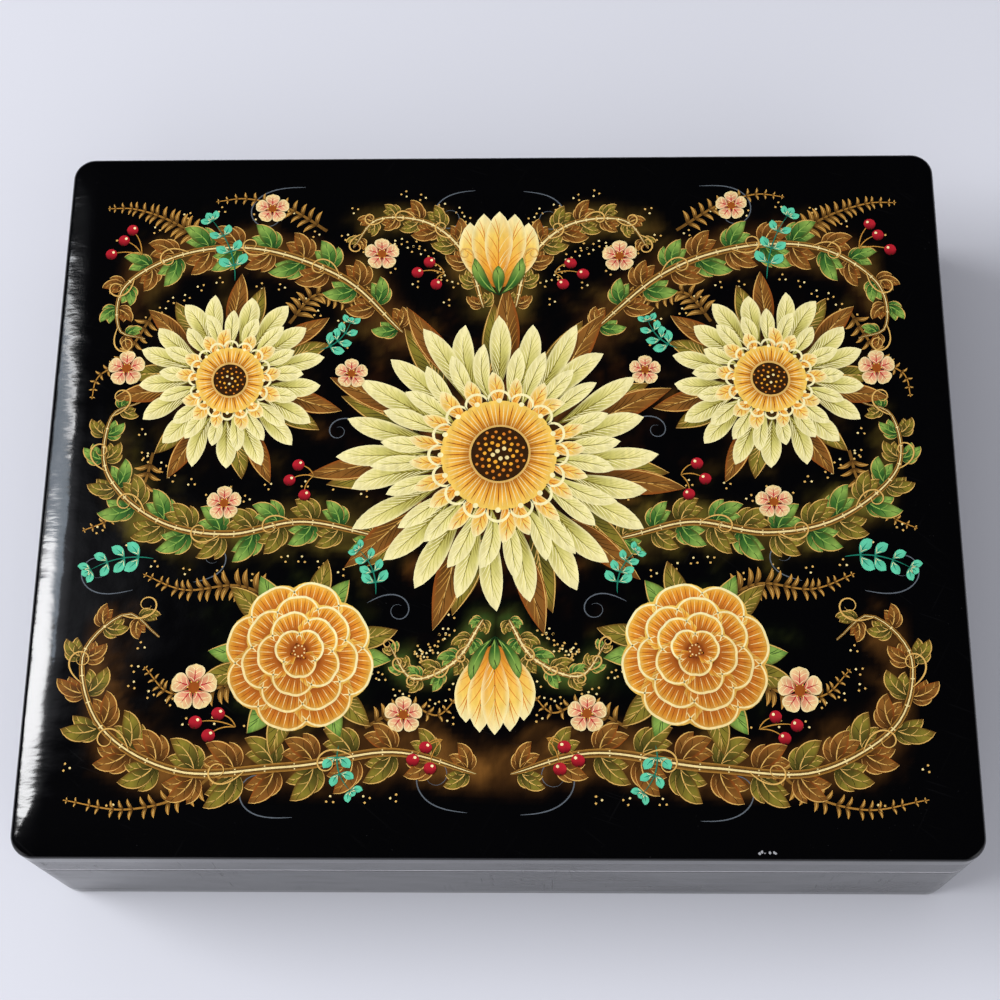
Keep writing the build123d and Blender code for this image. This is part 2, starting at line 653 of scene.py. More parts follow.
def draw_rim(bench: NodeBench, given: Given) -> Socket:
    """Band along the lid's left and right edges, where the polishing pad rides off.

    Args:
        bench: the group's nodes.
        given: the group's inputs by name.

    Returns:
        1 in the band and 0 on the field.
    """
    past_edge = bench.sum("SUBTRACT", bench.sum("ABSOLUTE", bench.axis("X")), given["Half Width"])
    return bench.step(past_edge, *RIM_BAND)


def draw_nick(bench: NodeBench, given: Given) -> Socket:
    """Ragged spot round one place.

    Args:
        bench: the group's nodes.
        given: the group's inputs by name.

    Returns:
        Its mask.
    """
    middle = bench.add("CombineXYZ", None, X=given["X"], Y=given["Y"], Z=given["Z"]).outputs[0]
    away = bench.sum("DIVIDE", bench.measure("DISTANCE", bench.place(), middle), given["Reach"])
    ragged = bench.sum("MULTIPLY_ADD", bench.noise(1600.0, detail=3.0), 1.8, away)
    return bench.flip(bench.step(ragged, 1.35, 1.6))


def draw_seam_highlight(bench: NodeBench, given: Given) -> Socket:
    """Painted highlight: a pale line along a level outer edge, in place of the lit edge, strongest in front.

    Args:
        bench: the group's nodes.
        given: the group's inputs by name.

    Returns:
        Its mask.
    """
    away = bench.sum("DIVIDE", bench.apart(bench.axis("Z"), given["Level"]), given["Reach"])
    outward = bench.step(bench.measure("DOT_PRODUCT", bench.place(), bench.facing()), 0.01, 0.05)
    in_front = bench.flip(bench.product(bench.step(bench.axis("Y"), *SEAM_HIGHLIGHT_FADE), SEAM_HIGHLIGHT_LOST))
    patches = bench.patches(0.2, 0.55, scale=24.0, detail=3.0)
    return bench.product(bench.flip(bench.step(away, 0.4, 1.0)), outward, in_front, patches)


def draw_scuffs(bench: NodeBench, given: Given) -> Socket:
    """Hairline scratches that run in three directions, in patches.

    Args:
        bench: the group's nodes.
        given: the group's inputs by name.

    Returns:
        Their mask.
    """
    marks = []
    for turn, across, along in ((0.5, 1500.0, 60.0), (-0.9, 1300.0, 50.0), (1.9, 1700.0, 70.0)):
        hatched = bench.drawn(bench.drawn(Rotation=(0.0, 0.0, turn)), Scale=(across, along, 60.0))
        marks.append(bench.step(bench.noise(1.0, 1.0, hatched), 0.68, 0.76))
    lines = reduce(lambda first, second: bench.sum("MAXIMUM", first, second), marks)
    return bench.product(lines, bench.patches(0.42, 0.68, scale=35.0), given["Amount"])


def draw_dust(bench: NodeBench, given: Given) -> Socket:
    """Fine specks that settle on faces that look up.

    Args:
        bench: the group's nodes.
        given: the group's inputs by name.

    Returns:
        Their mask.
    """
    up = bench.step(bench.axis("Z", bench.facing()), 0.5, 0.95)
    specks = bench.patches(0.76, 0.84, scale=2600.0, detail=1.0)
    patches = bench.patches(0.4, 0.75, scale=60.0)
    return bench.product(specks, patches, bench.product(up, given["Amount"]))


def draw_chips(bench: NodeBench, given: Given) -> Socket:
    """Small chips along an edge that runs level round the box.

    Args:
        bench: the group's nodes.
        given: the group's inputs by name.

    Returns:
        Their mask.
    """
    near = bench.flip(bench.sum("DIVIDE", bench.apart(bench.axis("Z"), given["Level"]), given["Reach"]))
    ragged = bench.product(bench.sum("SUBTRACT", bench.noise(700.0, detail=3.0), 0.74), 6.0)
    broken = bench.step(bench.sum("ADD", near, ragged), 0.45, 0.7)
    rare = bench.patches(0.56, 0.62, scale=48.0, detail=1.0)
    return bench.product(broken, bench.step(near, 0.0, 0.4), rare)


def draw_lining(bench: NodeBench, given: Given) -> Socket:
    """Upright space round the middle of the piece.

    Args:
        bench: the group's nodes.
        given: the group's inputs by name.

    Returns:
        1 inside it and 0 outside.
    """
    inside = [
        bench.sum("LESS_THAN", bench.sum("ABSOLUTE", bench.axis(name)), given[half])
        for name, half in (("X", "Half Width"), ("Y", "Half Depth"))
    ]
    above = bench.sum("GREATER_THAN", bench.axis("Z"), given["Low"])
    below = bench.sum("LESS_THAN", bench.axis("Z"), given["High"])
    return bench.product(*inside, above, below)


class Effect(Enum):
    """Effects that several finishes share."""

    RIPPLE = "lacquer_ripple"
    RIM = "lid_rim_mask"
    NICK = "nick"
    SEAM_HIGHLIGHT = "rubbed_edge"
    SCUFFS = "polishing_scuffs"
    DUST = "settled_dust"
    SMEARS = "wall_smears"
    CHIPS = "edge_chips"
    LINING = "lining_mask"

    def build(self) -> bpy.types.NodeTree:
        """Makes the effect the first time that it is asked for.

        Returns:
            Its node group.
        """
        recipes = {
            Effect.RIPPLE: ({"Broad": 1.0, "Fine": 0.25}, "Height", draw_ripple),
            Effect.RIM: ({"Half Width": 0.11}, "Mask", draw_rim),
            Effect.NICK: ({"X": 0.0, "Y": 0.0, "Z": 0.0, "Reach": 0.001}, "Mask", draw_nick),
            # Painted highlight: a pale line along a seam edge.
            Effect.SEAM_HIGHLIGHT: ({"Level": SEAM, "Reach": 0.0004}, "Mask", draw_seam_highlight),
            Effect.SCUFFS: ({"Amount": 1.0}, "Mask", draw_scuffs),
            Effect.DUST: ({"Amount": 1.0}, "Mask", draw_dust),
            Effect.SMEARS: ({"Amount": 1.0}, "Mask", draw_smears),
            Effect.CHIPS: ({"Level": SEAM, "Reach": 0.0006}, "Mask", draw_chips),
            Effect.LINING: (
                {"Half Width": 0.1, "Half Depth": 0.1, "Low": 0.0, "High": 1.0}, "Mask", draw_lining
            ),
        }
        return bpy.data.node_groups.get(self.value) or effect(self.value, *recipes[self])

    def into(self, bench: NodeBench, **values: float) -> Socket:
        """Places the effect in a material.

        Args:
            bench: the material's nodes.
            values: the effect's inputs by name, with _ for a space.

        Returns:
            What the effect puts out.
        """
        return bench.add("Group", {"node_tree": self.build()}, **values).outputs[0]


@dataclass(frozen=True)
class Mark:
    """How a mark changes the lacquer: its tint, how much it covers, and the roughness it adds or sets."""

    tint: Colour
    cover: float = 1.0
    roughness: float = 0.0
    way: str = "MAXIMUM"


SCUFFED = Mark((0.35, 0.34, 0.34), 0.02, 0.25, "ADD")
DUSTY = Mark((0.4, 0.39, 0.38), 0.5, 0.4, "ADD")
SMEARED = Mark((0.42, 0.41, 0.43), 0.08, 0.12, "ADD")
CHIPPED = Mark(tuple(Pigment.BROWN.tint), roughness=0.7)
# Pale tint of the line painted along the lid's seam edge as a painted highlight.
PAINTED_HIGHLIGHT = Mark((0.5, 0.49, 0.51))
DARK_NICK = Mark(tuple(Pigment.UMBER.tint), roughness=0.6)
PALE_NICK = Mark(tuple(Pigment.CHALK.tint), roughness=0.6)


@dataclass(frozen=True)
class LacquerFinish:
    """Polished lacquer, black or painted, with a red lining inside a stated space."""

    name: str
    painted: bool = False
    lining: Optional[tuple[float, float, float, float]] = None
    chip_levels: tuple[float, ...] = ()
    chip_reach: float = 0.0007
    # Heights and reach of pale lines painted along edges as painted highlights.
    highlight_levels: tuple[float, ...] = ()
    highlight_reach: float = 0.001
    nicks: tuple[tuple[float, float, float, float], ...] = ()
    nick_look: Mark = DARK_NICK
    black_tones: tuple[float, float] = (0.7, 1.3)
    lining_tones: tuple[float, float] = (0.72, 1.2)
    paint_tones: tuple[float, float] = (0.72, 1.22)
    refraction: float = 1.5
    gloss: float = 0.045
    gloss_spread: float = 0.03
    haze: float = 0.012
    haze_roughness: float = 0.42
    scuffs: float = 0.3
    dust: float = 0.25
    smears: float = 0.0
    ripple: float = 0.12
    fine_ripple: float = 0.05
    lined_ripple: float = 0.35
    rim_ripple: float = 0.0
    rim_gloss: float = 0.1
    rim_grain: Direction = (220.0, 640.0, 220.0)

    def material(self) -> bpy.types.Material:
        """Builds the finish.

        Returns:
            Its material.
        """
        material, bench = new_material(self.name)
        colour = self.colour(bench)
        patches = bench.noise(28.0, detail=3.0)
        rough = bench.sum("MULTIPLY_ADD", patches, self.gloss_spread, self.gloss - self.gloss_spread / 2)
        for mask, mark in self.marks(bench):
            colour = bench.blend(bench.product(mask, mark.cover), colour, np.array(mark.tint))
            rough = bench.sum(mark.way, rough, bench.product(mask, mark.roughness))
        height = Effect.RIPPLE.into(bench, Broad=1.0, Fine=self.fine_ripple)
        if self.rim_ripple:
            rim = Effect.RIM.into(bench)
            lumps = bench.sum("SUBTRACT", bench.streaks(self.rim_grain), 0.5)
            height = bench.sum("ADD", height, bench.product(lumps, self.rim_ripple, rim))
            rough = bench.sum("MAXIMUM", rough, bench.product(rim, self.rim_gloss))
        if self.lining:
            height = bench.product(height, bench.between(self.lined(bench), 1.0, self.lined_ripple))
        normal = bench.add("Bump", None, Strength=self.ripple, Distance=MM, Height=height).outputs[0]
        shader = bench.add(
            "BsdfPrincipled", None, Base_Color=colour, Roughness=rough, Normal=normal,
            IOR=self.refraction, Coat_Weight=self.haze, Coat_Roughness=self.haze_roughness,
        )
        bench.add("OutputMaterial", None, Surface=shader.outputs[0])
        return material

    def marks(self, bench: NodeBench) -> Iterator[tuple[Socket, Mark]]:
        """Lays marks on the polish, from the faintest to the deepest.

        Args:
            bench: the material's nodes.

        Yields:
            The mask of each mark, and the mark.
        """
        yield Effect.SCUFFS.into(bench, Amount=self.scuffs), SCUFFED
        yield Effect.DUST.into(bench, Amount=self.dust), DUSTY
        if self.smears:
            yield Effect.SMEARS.into(bench, Amount=self.smears), SMEARED
        for level in self.chip_levels:
            yield Effect.CHIPS.into(bench, Level=level, Reach=self.chip_reach), CHIPPED
        # Painted highlight: pale lines along the edges at these heights.
        for level in self.highlight_levels:
            yield Effect.SEAM_HIGHLIGHT.into(bench, Level=level, Reach=self.highlight_reach), PAINTED_HIGHLIGHT
        for x, y, z, reach in self.nicks:
            yield Effect.NICK.into(bench, X=x, Y=y, Z=z, Reach=reach), self.nick_look

    def colour(self, bench: NodeBench) -> Socket:
        """Mixes what lies under the polish: the black, the paint or the lining.

        Args:
            bench: the material's nodes.

        Returns:
            Its colour.
        """
        if self.painted:
            paint = bench.add("Attribute", {"attribute_name": PIGMENT}).outputs["Color"]
            hatched = bench.drawn(Rotation=(0.0, 0.0, 0.7), Scale=(900.0, 260.0, 1.0))
            tone = bench.between(bench.noise(1.0, 3.0, hatched), *self.paint_tones)
            return bench.blend(1.0, paint, tone, "MULTIPLY")
        cloud = bench.noise(22.0, detail=3.0)
        black = bench.blend(cloud, *(Pigment.LACQUER.tint * tone for tone in self.black_tones))
        if not self.lining:
            return black
        red = bench.blend(cloud, *(Pigment.LINING.tint * tone for tone in self.lining_tones))
        return bench.blend(self.lined(bench), black, red)

    def lined(self, bench: NodeBench) -> Socket:
        """1 where the red lining lies, and 0 elsewhere."""
        half_width, half_depth, low, high = self.lining
        return Effect.LINING.into(bench, Half_Width=half_width, Half_Depth=half_depth, Low=low, High=high)


@dataclass(frozen=True)
class BrassFinish:
    """Brass that has darkened with age, brighter where it rubs."""

    name: str = "aged_brass"
    bright: Colour = (0.60, 0.42, 0.16)
    tarnish: Colour = (0.17, 0.105, 0.045)
    scuffs: float = 0.8
    roughness: tuple[float, float] = (0.24, 0.55)
    ripple: float = 0.15
    ripple_height: float = 0.0004

    def material(self) -> bpy.types.Material:
        """Builds the finish.

        Returns:
            Its material.
        """
        material, bench = new_material(self.name)
        cloud = bench.patches(0.38, 0.66, scale=340.0, detail=4.0)
        dark = bench.product(cloud, bench.flip(Effect.SCUFFS.into(bench, Amount=self.scuffs)))
        colour = bench.blend(dark, np.array(self.bright), np.array(self.tarnish))
        height = Effect.RIPPLE.into(bench, Broad=0.3, Fine=1.0)
        bump = bench.add("Bump", None, Strength=self.ripple, Distance=self.ripple_height, Height=height)
        shader = bench.add(
            "BsdfPrincipled", None, Base_Color=colour, Roughness=bench.between(dark, *self.roughness),
            Normal=bump.outputs[0], Metallic=1.0,
        )
        bench.add("OutputMaterial", None, Surface=shader.outputs[0])
        return material


def show(name: str, mesh: bpy.types.Mesh, material: bpy.types.Material) -> bpy.types.Object:
    """Puts a mesh in the scene.

    Args:
        name: name of the piece.
        mesh: its mesh.
        material: its material.

    Returns:
        The piece.
    """
    piece = bpy.data.objects.new(name, mesh)
    mesh.materials.append(material)
    bpy.context.scene.collection.objects.link(piece)
    return piece


@dataclass
class LidShell:
    """Lid board with a rounded edge that dies away into the flat painted field."""

    half_width: float = 110.0
    half_depth: float = 90.0
    corner: float = 5.5
    bottom: float = 44.0
    top: float = 50.0
    edge_radius: float = 1.3
    shoulder_slope: float = 10.0
    shoulder_end: float = 9.4
    fade: float = 0.9
    corner_growth: float = 1.2
    edge_steps: int = 18
    shoulder_steps: int = 14
    corner_steps: int = 12
    sharp_angle: float = 50.0
    finish: LacquerFinish = LacquerFinish(
        "lid_lacquer", lining=(0.1054, 0.0854, 0.0, 0.0443), rim_ripple=0.18, nick_look=PALE_NICK,
        nicks=(
            (0.0592, -0.0885, 0.0493, 0.0005), (0.0597, -0.0882, 0.0493, 0.0005),
            (0.0604, -0.0884, 0.0493, 0.0004), (0.0614, -0.0883, 0.0493, 0.0004),
            (0.0624, -0.0882, 0.0493, 0.0005), (0.0628, -0.0885, 0.0493, 0.0005),
        ),
    )

    def profile(self) -> list[tuple[float, float]]:
        """Draws the rounded edge in section.

        Returns:
            Insets from the side and heights, from the side's foot to the flat field.
        """
        slope = math.radians(self.shoulder_slope)
        start = self.edge_radius * (1 - math.sin(slope))
        length = self.shoulder_end - start
        drop = math.tan(slope) * length / (self.fade + 1)
        middle = self.top - drop - self.edge_radius * math.cos(slope)
        line = [(0.0, self.bottom)]
        for turn in np.linspace(math.pi / 2, slope, self.edge_steps):
            line.append((self.edge_radius * (1 - math.sin(turn)), middle + self.edge_radius * math.cos(turn)))
        for share in np.linspace(0, 1, self.shoulder_steps + 1)[1:]:
            line.append((start + share * length, self.top - drop * (1 - share) ** (self.fade + 1)))
        return line

    def loop(self, inset: float) -> Points:
        """Draws a rounded rectangle.

        Args:
            inset: how far it lies in from the lid's sides.

        Returns:
            Its points.
        """
        edge = min(inset, self.edge_radius)
        radius = self.corner - edge + self.corner_growth * (inset - edge)
        places = []
        for k, (sx, sy) in enumerate(((1, 1), (-1, 1), (-1, -1), (1, -1))):
            centre = (sx * (self.half_width - inset - radius), sy * (self.half_depth - inset - radius))
            places.append(polar(centre, radius, 90 * k + np.linspace(0, 90, self.corner_steps + 1)))
        return np.vstack(places)

    def build(self) -> bpy.types.Object:
        """Makes the lid and puts it in place of the plain board.

        Returns:
            The lid.
        """
        count = 4 * (self.corner_steps + 1)
        rings = [np.column_stack([self.loop(inset), np.full(count, high)]) for inset, high in self.profile()]
        faces = [tuple(range(count))[::-1], tuple(range((len(rings) - 1) * count, len(rings) * count))]
        for k in range(len(rings) - 1):
            for i in range(count):
                j = (i + 1) % count
                faces.append((k * count + i, k * count + j, (k + 1) * count + j, (k + 1) * count + i))
        mesh = bpy.data.meshes.new("lid_shell")
        mesh.from_pydata((np.vstack(rings) * MM).tolist(), [], faces)
        mesh.set_sharp_from_angle(angle=math.radians(self.sharp_angle))
        lid = show("lid_shell", mesh, self.finish.material())
        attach(lid, "lid")
        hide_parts("lid_board")
        return lid


@dataclass
class BoxShell:
    """Walls, bottom and neck of the box, which keep their CAD shapes and get their lacquer here."""

    finishes: dict[str, LacquerFinish] = field(
        default_factory=lambda: {
            "base_wall": LacquerFinish("wall_lacquer", chip_levels=(SEAM,), gloss=0.2, smears=1.0),
            "lid_rim": LacquerFinish(
                "rim_lacquer", lining=(0.1056, 0.0856, 0.0332, 0.05), chip_levels=(SEAM,),
                # The pale line at this height is a painted highlight of the rim's lit lower edge.
                highlight_levels=(0.0336,), nicks=((-0.004, -0.09, 0.0333, 0.0006),), gloss=0.2, smears=1.0,
            ),
            "bottom_board": LacquerFinish(
                "bottom_lacquer", lining=(0.1031, 0.0831, 0.0035, 0.01), chip_levels=(0.0,)
            ),
            "inner_sleeve": LacquerFinish("neck_lacquer", lining=(0.1034, 0.0834, 0.0, 0.0356)),
        }
    )

    def dress(self) -> None:
        """Gives each lacquered node its finish."""
        for node, finish in self.finishes.items():
            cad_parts[node].material_slots[0].material = finish.material()
            log.info("dressed %s", node)


@dataclass
class BrassHinges:
    """Leaves, pins and nails of both hinges."""

    finish: BrassFinish = BrassFinish()

    def dress(self) -> None:
        """Gives every hinge node the aged brass."""
        material = self.finish.material()
        for name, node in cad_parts.items():
            if "_hinge_" in name:
                node.material_slots[0].material = material
                log.info("dressed %s", name)


@dataclass(frozen=True)
class PetalScheme:
    """Pigments of a petal or leaf, from its root to its tip, with its shade, edge, rib and hairs."""

    run: tuple[tuple[float, Pigment], ...]
    shade: Pigment
    edge: Pigment
    rib: Pigment
    hairs: tuple[Pigment, ...]


CREAM_PETAL = PetalScheme(
    ((0.0, Pigment.REED), (0.26, Pigment.GREEN_CREAM), (0.5, Pigment.CREAM), (1.0, Pigment.PALE_CREAM)),
    Pigment.REED, Pigment.PALE_CREAM, Pigment.REED, (Pigment.PALE_CREAM, Pigment.GREEN_CREAM),
)
OUTER_PETAL = PetalScheme(
    (
        (0.0, Pigment.OLIVE), (0.36, Pigment.REED), (0.52, Pigment.GREEN_CREAM), (0.7, Pigment.CREAM),
        (1.0, Pigment.PALE_CREAM),
    ),
    Pigment.REED, Pigment.PALE_CREAM, Pigment.REED, (Pigment.PALE_CREAM, Pigment.GREEN_CREAM),
)
GOLD_PETAL = PetalScheme(
    ((0.0, Pigment.RUST), (0.3, Pigment.AMBER), (0.7, Pigment.YELLOW), (1.0, Pigment.PALE_CREAM)),
    Pigment.ORANGE, Pigment.PALE_CREAM, Pigment.ORANGE, (Pigment.PALE_GOLD, Pigment.ORANGE),
)
BROWN_LEAF = PetalScheme(
    ((0.0, Pigment.UMBER), (0.4, Pigment.BROWN), (0.75, Pigment.TAN), (1.0, Pigment.BROWN)),
    Pigment.UMBER, Pigment.RUST, Pigment.GOLD, (Pigment.OCHRE, Pigment.UMBER),
)
OLIVE_LEAF = PetalScheme(
    ((0.0, Pigment.DARK_OLIVE), (0.4, Pigment.OLIVE), (0.75, Pigment.REED), (1.0, Pigment.BROWN)),
    Pigment.DARK_OLIVE, Pigment.BROWN, Pigment.GOLD, (Pigment.GOLD, Pigment.DARK_OLIVE),
)
GREEN_LEAF = PetalScheme(
    ((0.0, Pigment.DARK_LEAF), (0.45, Pigment.LEAF), (0.8, Pigment.LIME), (1.0, Pigment.LEAF)),
    Pigment.DARK_LEAF, Pigment.OLIVE, Pigment.LIME, (Pigment.LIME, Pigment.DARK_LEAF),
)
MINT_LEAF = PetalScheme(
    ((0.0, Pigment.DEEP_MINT), (0.5, Pigment.MINT), (1.0, Pigment.MINT)),
    Pigment.DEEP_MINT, Pigment.MINT, Pigment.DEEP_MINT, (Pigment.PALE_CREAM,),
)
PINK_PETAL = PetalScheme(
    ((0.0, Pigment.RED), (0.4, Pigment.ROSE), (1.0, Pigment.PALE_GOLD)),
    Pigment.RUST, Pigment.PALE_CREAM, Pigment.RED, (Pigment.PALE_CREAM,),
)


def stagger(place: int, count: int, steps: int) -> int:
    """Step at which a petal of a ring is painted, never that of a petal beside it.

    Args:
        place: the petal's place in the ring.
        count: petals in the ring.
        steps: steps that they share out among them.

    Returns:
        The petal's step, from 0.
    """
    closes_ring = place == count - 1 and place % steps == 0
    return steps // 2 if closes_ring else place % steps


class Motif(ABC):
    """Something that is painted on the lid."""

    @abstractmethod
    def paint(self, layer: PaintLayer, level: float) -> None:
        """Paints the motif.

        Args:
            layer: coat of paint that takes it.
            level: how many strokes may lie below it.
        """


@dataclass
class Petal(Motif):
    """Long petal or leaf lobe with a rib and fine hairs on both sides of it."""

    root: Place
    tip: Place
    half_width: float
    scheme: PetalScheme
    bend: float = 0.0
    peak: float = 0.62
    fullness: float = 0.75
    hairs: int = 6
    hair_width: float = 0.1
    rib_width: float = 0.13
    gilt_width: float = 0.12
    light: float = 1.0
    steps: int = 14
    columns: int = 7

    def spine(self) -> Points:
        """Middle line from the root to the tip."""
        return bow(self.root, self.tip, self.bend, self.steps)

    def width(self) -> np.ndarray:
        """Half width at each point of the middle line."""
        return self.half_width * swell(self.steps, self.peak, self.fullness)

    def paint(self, layer: PaintLayer, level: float, hair_level: Optional[float] = None) -> None:
        """Paints the petal.

        Args:
            layer: coat of paint that takes it.
            level: how many strokes may lie below it.
            hair_level: the same for its rib and hairs, where they wait until its neighbours are painted.
        """
        spine, width = self.spine(), self.width()
        along = np.linspace(0, 1, self.steps)[:, None]
        across = np.linspace(1, -1, self.columns)[None]
        body = np.broadcast_to(ramp(self.scheme.run, along), (self.steps, self.columns, 3))
        dark = 0.6 * np.clip(-self.light * across, 0, 1) * (1 - 0.7 * along)
        body = mix(body, self.scheme.shade.tint, dark)
        body = mix(body, self.scheme.edge.tint, 0.75 * np.abs(across) ** 6 * smooth(0.1, 0.5, along))
        layer.stroke(spine, width, body, level)
        above = level + 0.3 if hair_level is None else hair_level
        layer.line(spine[1:-2], self.rib_width, self.scheme.rib, above, 0.3)
        left = lefts(spine)
        for i in range(self.hairs):
            k = int(round((0.1 + 0.6 * i / max(self.hairs - 1, 1)) * (self.steps - 1)))
            end = min(k + max(self.steps // 4, 2), self.steps - 2)
            for sign in (1, -1):
                tip = spine[end] + sign * left[end] * 0.82 * width[end]
                pigment = self.scheme.hairs[0 if sign * self.light < 0 else -1]
                layer.line(bow(spine[k], tip, -sign * 0.1 * width[end], 4), self.hair_width, pigment, above)

    def gild(self, layer: PaintLayer, level: float) -> None:
        """Paints a golden outline along the lit side.

        Args:
            layer: coat of paint that takes it.
            level: how many strokes may lie below it.
        """
        spine = self.spine()
        edge = spine + lefts(spine) * (self.light * 0.9 * self.width())[:, None]
        layer.line(edge[2:], self.gilt_width, Pigment.GOLD, level, 0.7)


@dataclass(frozen=True)
class PetalRing:
    """Ring of petals: shares of the radius at roots and tips, pigments, turn by a share of a petal, hairs."""

    count: int
    start: float
    end: float
    scheme: PetalScheme
    shift: float
    hairs: int


@dataclass
class FeatherBlossom(Motif):
    """Large blossom with rings of feather-like petals round a combed golden collar and a dotted heart."""

    centre: Place
    radius: float
    petals: int
    turn: float = 90.0
    blunt: float = 0.54
    seed: int = 3
    collar: tuple[float, float] = (0.17, 0.36)
    collar_lobes: int = 16
    heart: float = 0.185
    golden_angle: float = 137.5
    sway: float = 0.5
    tip_sway: float = 1.2
    uneven_length: float = 0.012
    uneven_width: float = 0.04
    uneven_bend: float = 0.02
    every_other_shorter: float = 0.05

    def paint(self, layer: PaintLayer, level: float) -> None:
        """Paints the blossom from its outer petals inwards."""
        rng = np.random.default_rng(self.seed)
        rings = (
            PetalRing(self.petals, 0.40, 1.0, OUTER_PETAL, 0.0, 9),
            PetalRing(self.petals, 0.34, 0.78, CREAM_PETAL, 0.5, 7),
            PetalRing(self.petals - 4, 0.28, 0.57, GOLD_PETAL, 0.25, 5),
        )
        for k, ring in enumerate(rings):
            self.paint_ring(layer, level + 3 * k, ring, rng)
        self.paint_collar(layer, level + 9)
        self.paint_heart(layer, level + 13)

    def paint_ring(self, layer: PaintLayer, level: float, ring: PetalRing, rng: np.random.Generator) -> None:
        """Paints one ring of petals.

        Args:
            layer: coat of paint that takes them.
            level: how many strokes may lie below them.
            ring: what they are like.
            rng: the hand's small irregularities.
        """
        for i in range(ring.count):
            angle = self.turn + 360 * (i + ring.shift) / ring.count + rng.normal(0, self.sway)
            share = 1 + rng.normal(0, self.uneven_length) - self.every_other_shorter * (i % 2)
            wide = 1 + rng.normal(0, self.uneven_width)
            half = math.pi * self.radius * ring.end * self.blunt / ring.count * wide
            root = polar(self.centre, self.radius * ring.start, angle)
            tip = polar(self.centre, self.radius * ring.end * share, angle + rng.normal(0, self.tip_sway))
            bend = rng.normal(0, self.uneven_bend) * self.radius
            light = 1.0 if math.cos(math.radians(angle + 60)) > 0 else -1.0
            petal = Petal(root, tip, half, ring.scheme, bend=bend, hairs=ring.hairs, light=light)
            petal.paint(layer, level + 0.4 * stagger(i, ring.count, 4), level + 2)

    def paint_collar(self, layer: PaintLayer, level: float) -> None:
        """Paints the golden collar with its comb of fine lines and its scalloped edge.

        Args:
            layer: coat of paint that takes it.
            level: how many strokes may lie below it.
        """
        inner, outer = (share * self.radius for share in self.collar)
        steps, columns = 73, 5
        run = ((0, Pigment.RUST), (0.45, Pigment.AMBER), (1, Pigment.YELLOW))
        body = np.broadcast_to(ramp(run, np.linspace(0, 1, columns)), (steps, columns, 3))
        spine = polar(self.centre, (inner + outer) / 2, np.linspace(0, 360, steps))
        layer.stroke(spine[::-1], (outer - inner) / 2, body[:, ::-1], level)
        teeth = 3 * self.petals
        for i in range(teeth):
            turn = 360 * i / teeth
            ends = polar(self.centre, inner * 1.1, turn), polar(self.centre, outer * 0.94, turn)
            pigment = Pigment.PALE_GOLD if i % 3 else Pigment.RUST
            layer.line(np.linspace(*ends, 4), 0.13, pigment, level + 1, 0.6)
        size = math.pi * outer / self.collar_lobes
        width = 0.055 * size + 0.2 * swell(11, 0.5, 0.5)
        for i in range(self.collar_lobes):
            turn = 360 * i / self.collar_lobes
            middle = polar(self.centre, outer, turn)
            scallop = polar(middle, size, np.linspace(turn - 100, turn + 100, 11))
            layer.stroke(scallop, width, Pigment.PALE_CREAM.tint, level + 2)
            layer.dot(middle, 0.24 * size, Pigment.PALE_CREAM, level + 2)

    def paint_heart(self, layer: PaintLayer, level: float) -> None:
        """Paints the dark heart with its spiral of golden dots.

        Args:
            layer: coat of paint that takes it.
            level: how many strokes may lie below it.
        """
        radius = self.heart * self.radius
        layer.dot(self.centre, radius, Pigment.UMBER, level, 15)
        layer.stroke(polar(self.centre, radius, np.linspace(0, 360, 49)), 0.26, Pigment.GOLD.tint, level + 1)
        count = int(7 * radius)
        for i in range(1, count):
            share = math.sqrt(i / count)
            pigment = (Pigment.PALE_GOLD, Pigment.AMBER, Pigment.ORANGE)[int(2.99 * share)]
            place = polar(self.centre, 0.88 * radius * share, self.golden_angle * i)
            layer.dot(place, 0.055 * radius * (1.5 - 0.6 * share), pigment, level + 2, 5)


